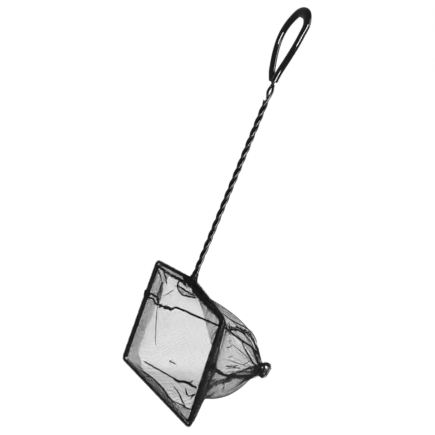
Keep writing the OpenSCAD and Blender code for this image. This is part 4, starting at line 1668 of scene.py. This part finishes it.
CREASES_UPPER_RIGHT = (
    (
        (2.2, 5, 0.2, 0.2), (72, 0.26), (63.7, 0.317), (60.9, 0.4), (62.5, 0.514), (65.4, 0.626),
        (69, 0.8),
    ),
    (
        (7.0, 2, 0.2, 0.3), (52.5, 0.173), (49.4, 0.265), (52.5, 0.459), (50.1, 0.607), (39.8, 0.704),
        (37.7, 0.889),
    ),
    (
        (1.8, 5, 0.5, 0.5), (47.1, 0.177), (49.4, 0.408), (46.1, 0.502), (39.7, 0.607), (27.5, 0.697),
        (18.5, 0.836),
    ),
    (
        (2.3, 6, 0.2, 0.2), (38, 0.43), (33.4, 0.443), (27.2, 0.505), (19.7, 0.594), (10.1, 0.698),
        (7.7, 0.804),
    ),
    ((3.4, 4, 0.4, 0.5), (34.2, 0.607), (26.7, 0.678), (16.3, 0.807)),
    ((2.2, 5, 0.2, 0.2), (59.4, 0.2), (50, 0.178), (44.7, 0.191), (42.4, 0.239)),
    ((1.9, 4, 0.2, 0.2), (46.5, 0.173), (49.4, 0.308), (50, 0.41)),
    ((2.0, 5, 0.2, 0.2), (42.2, 0.083), (48, 0.223), (57.5, 0.264)),
    ((1.9, 4, 0.2, 0.2), (7.9, 0.228), (6.4, 0.334), (6.4, 0.432)),
    ((1.7, 4, 0.2, 0.2), (4.1, 0.262), (3.9, 0.397), (2, 0.491)),
    ((1.8, 4, 0.2, 0.2), (6.3, 0.491), (10.6, 0.568), (16.2, 0.643)),
    ((1.7, 4, 0.2, 0.2), (29, 0.148), (30.9, 0.226), (32.5, 0.266)),
    ((1.6, 4, 0.2, 0.2), (18.5, 0.219), (19.4, 0.27), (20.5, 0.322)),
    ((1.6, 4, 0.2, 0.2), (35.4, 0.172), (37.6, 0.255)),
)
CREASES_LOWER_RIGHT = (
    ((4.6, 2, 0.4, 0.6), (353, 0.28), (354, 0.41), (359, 0.55), (363, 0.75), (366, 0.9)),
    ((5.2, 2, 0.4, 0.6), (350, 0.3), (350, 0.42), (346, 0.6), (338, 0.75), (341, 0.92)),
    (
        (6.5, 2, 0.5, 0.5), (337, 0.01), (339.1, 0.066), (344.2, 0.149), (345.5, 0.241), (346, 0.35),
        (346.8, 0.433),
    ),
    ((7.0, 1, 0.5, 0.7), (354.4, 0.337), (353, 0.466), (353.3, 0.582), (352.2, 0.718), (353.5, 0.882)),
    ((2.2, 5, 0.2, 0.2), (350.3, 0.035), (349.4, 0.124), (352.5, 0.171)),
    ((2.0, 5, 0.2, 0.2), (361.4, 0.006), (362.8, 0.154), (358.3, 0.244)),
    ((2.0, 5, 0.2, 0.2), (370.1, 0.007), (362.7, 0.17), (353.2, 0.302)),
    ((1.4, 5, 0.2, 0.2), (352, 0.27), (339, 0.33), (325, 0.36)),
)


# Lines of the loose netting inside the mouth, in millimetres from the neck
ROLL_LINE = (
    (-75, 6, -18.1), (-63, 6, -17.1), (-50.9, 6, -16.4), (-39.6, 6, -14.8), (-28.9, 6, -12.6),
    (-16.3, 6, -11.1),
)
FLAP_EDGE = ((-32.3, 8, -14.4), (-32.8, 8, -23.2), (-22.3, 8, -25.9), (-11.6, 8, -24), (5.2, 8, -17.9))
FLAP_RIM = ((-32.1, 8, -21.2), (-23, 8, -20.2), (-11.8, 8, -18.9), (3.1, 8, -16.9))
WEB_CHORD = ((11.7, 7, -17.3), (27.1, 7, -26.1), (44.9, 7, -38.9), (58.9, 7, -48))
ROLLED_EDGE = [
    LoosePleat(ROLL_LINE, 3.3, 6, (0.5, 1.0)),
    LoosePleat(FLAP_EDGE[:2], 2.6, 8, (0.9, 0.9)),
    LoosePleat(FLAP_EDGE[1:], 1.9, 6, (0.9, 0.8)),
    LoosePleat(FLAP_RIM, 2.0, 6, (0.8, 0.8)),
    LoosePleat(((-27.3, 7, -13), (-20.3, 7, -14.5), (-12.6, 7, -14.9)), 2.0, 5),
]
# Where round the mouth the fold in the left hem's casing passes
CASING_FOLD_ANGLES = (135.3, 148, 164, 180, 196, 212, 224.9)


@dataclass
class Folds:
    """The creases, darts and loose edges of a form, each where the netting is pulled."""

    form: BagForm

    def creases(self) -> None:
        """Make the folds that show inside the mouth, and those from it to the tied end."""
        for name, rows, under in (
            ("creases_left", CREASES_LEFT, ON_UPPER),
            ("creases_floor", CREASES_FLOOR, ON_LOWER),
            ("creases_upper_right", CREASES_UPPER_RIGHT, ON_UPPER),
            ("creases_lower_right", CREASES_LOWER_RIGHT, ON_LOWER),
        ):
            pleats = [
                Pleat(tuple(line), wide, layers, (low, high))
                for (wide, layers, low, high), *line in rows
            ]
            pleated(name, pleats, self.form)

    def hung(self, name: str, *cloths: Cloth, drawn: Table = EVEN) -> None:
        """Make a piece of netting that hangs from the mouth's wire."""
        net_piece(name, list(cloths), drawn=drawn)

    def rim(self, low: float, high: float, depth: float, inset: float) -> Array:
        """A line of places along the mouth, at a depth and an inset in millimetres."""
        return self.form.at(self.form.along(low, high, 90)[0], self.form.share(depth), inset)

    def loose(self) -> None:
        """Make the rolled edge, the flap, the band and the corner's web inside the mouth."""
        pleated("rolled_edge_top", ROLLED_EDGE, self.form)
        place = self.form.wire.placed
        chord = spline(place(WEB_CHORD), 90)
        near_rim, far_rim = (
            self.rim(82.0, 26.0, depth=back, inset=inwards) for back, inwards in ((5.0, 2.6), (8.0, 1.5))
        )
        web = self.between(chord, near_rim, rows=60, wave=1.4)
        self.hung("web_corner", web, self.between(chord, far_rim, rows=60, wave=2.2))
        near = float(self.form.share(1.0))
        casing = tuple((angle, near) for angle in CASING_FOLD_ANGLES)
        fold = Pleat(casing, 3.8, 8, ends=(0.95, 1.0), inset=1.3, gap=0.12)
        pleated("casing_fold_left", [fold], self.form)
        edge, rim = (spline(place(line), 60) for line in (FLAP_EDGE[1:], FLAP_RIM))
        flap = self.between(edge, rim, rows=40, wave=0.8)
        self.hung("flap_neck", flap, drawn=BUNCHED)
        roll, rim = spline(place(ROLL_LINE)[::-1], 90), self.rim(96.0, 134.0, depth=3.0, inset=1.0)
        self.hung("band_top_left", self.between(roll, rim, rows=20, wave=0.5))

    def between(self, low: Array, high: Array, rows: int, wave: float) -> Cloth:
        """Netting hung between two lines.

        Args:
            low, high: the lines.
            rows: places from one line to the other.
            wave: size in millimetres of its waves.

        Returns:
            The cloth.
        """
        v = np.linspace(0, 1, rows)[:, None]
        u = np.linspace(0, 1, len(low))
        sag = wave * np.sin(math.pi * v) * ripple(u + 0.2 * v, ((0.5, 3, 0.1), (0.3, 7, 0.6)))
        grid = low * (1 - v[..., None]) + high * v[..., None]
        return Cloth(grid + (sag * MM)[..., None] * BACKWARDS)

    def build(self) -> None:
        """Make all the folds."""
        self.creases()
        self.loose()


# Studio


@dataclass
class Studio:
    """The floor, the lights and the camera.

    Attributes:
        eye: the camera's place.
        right, ahead: the ways to its right and straight ahead.
        lens, sensor: focal length and the frame's width in millimetres.
        aim: where the lamps point.
        floor_z, floor_half: the floor's height and half its width.
        floor_glow, world_glow: how bright the floor shines, and how much the backdrop lights.
    """

    eye: tuple[float, float, float] = (1.06258, -0.8204, 0.12359)
    right: tuple[float, float, float] = (0.5051, 0.8047, 0.3121)
    ahead: tuple[float, float, float] = (-0.7719, 0.5829, -0.2536)
    lens: float = 107.586
    sensor: float = 36.0
    aim: tuple[float, float, float] = (0.0, 0.0, -0.2)
    floor_z: float = -1.1
    floor_half: float = 12.0
    floor_glow: float = 0.555
    world_glow: float = 0.55

    def camera(self) -> None:
        """Stand the camera where the photograph was taken from."""
        data = bpy.data.cameras.new("camera")
        data.lens, data.sensor_width = self.lens, self.sensor
        data.clip_start, data.clip_end = 0.01, 50.0
        ahead = unit(np.array(self.ahead))
        right = unit(np.array(self.right) - ahead * (np.array(self.right) @ ahead))
        axes = (right, np.cross(right, ahead), -ahead)
        bpy.context.scene.camera = in_scene("camera", data, axes, self.eye)

    def lamp(
        self,
        name: str,
        place: tuple[float, float, float],
        size: tuple[float, float],
        watts: float,
        mirrored: bool,
    ) -> None:
        """A flat soft light that faces the net.

        Args:
            name: the light's name.
            place: where it stands.
            size: its width and height in metres.
            watts: its power.
            mirrored: whether it only shows as a highlight, or only lights the net.
        """
        data = bpy.data.lights.new(name, "AREA")
        data.shape, data.size, data.size_y = "RECTANGLE", *size
        data.energy = watts
        back = unit(np.array(place) - np.array(self.aim))
        side = unit(np.cross(UPWARDS, back))
        lamp = in_scene(name, data, (side, np.cross(back, side), back), place)
        lamp.visible_camera = False
        lamp.visible_glossy, lamp.visible_diffuse = mirrored, not mirrored

    def seen_white(self, tree: Nodes) -> Socket:
        """1 for what the camera sees, straight, mirrored or through glass, and 0 for light.

        Args:
            tree: the material's or world's nodes.

        Returns:
            The number.
        """
        ray = add(tree, "LightPath").outputs
        either = maths(tree, "MAXIMUM", {0: ray["Is Camera Ray"], 1: ray["Is Glossy Ray"]})
        return maths(tree, "MAXIMUM", {0: either, 1: ray["Is Transmission Ray"]})

    def floor(self) -> None:
        """A plain pale floor, white to the camera apart from the net's shadow."""
        half, z = self.floor_half, self.floor_z
        corners = [(-half, -half, z), (half, -half, z), (half, half, z), (-half, half, z)]
        mesh = bpy.data.meshes.new("floor")
        mesh.from_pydata(corners, [], [(0, 1, 2, 3)])
        material = bpy.data.materials.new("Pale_studio_floor")
        material.use_nodes = True
        tree = material.node_tree
        glow = maths(tree, "MULTIPLY", {0: self.seen_white(tree)}, {1: self.floor_glow})
        look = {"Base Color": linear("#e6e6e6"), "Roughness": 0.9, "Specular IOR Level": 0.1}
        shader = tree.nodes["Principled BSDF"]
        feed(tree, shader, {"Emission Strength": glow}, look | {"Emission Color": WHITE})
        mesh.materials.append(material)
        floor = in_scene("floor", mesh)

    def world(self) -> None:
        """A white backdrop all round that lights the net less than it shows."""
        world = bpy.data.worlds.new("studio")
        bpy.context.scene.world = world
        world.use_nodes = True
        tree = world.node_tree
        span = {"To Min": self.world_glow, "To Max": 1.0}
        strength = add(tree, "MapRange", {"Value": self.seen_white(tree)}, span).outputs["Result"]
        feed(tree, tree.nodes["Background"], {"Strength": strength}, {"Color": WHITE})

    def build(self) -> None:
        """Set the whole studio up."""
        self.camera()
        self.floor()
        self.world()
        self.lamp("key", (0.9, -1.4, 1.5), (1.2, 1.2), watts=26, mirrored=False)
        self.lamp("window", (1.06, -0.285, -0.17), (0.32, 0.7), watts=125, mirrored=True)
        self.lamp("side", (0.9, 0.85, 0.25), (0.35, 0.9), watts=45, mirrored=True)
        bpy.context.scene.view_settings.view_transform = "Standard"


def main() -> None:
    """Build the net's sub-assemblies in order, then the studio, and note the sizes."""
    logging.basicConfig(level=logging.INFO, format="%(message)s")
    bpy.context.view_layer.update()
    wire = Wire()
    wire.build()
    GripSleeve(wire).build()
    form = BagForm(wire)
    NettingBag(form).build()
    Sewing(form).build()
    Folds(form).build()
    Studio().build()


if __name__ == "__main__":
    main()
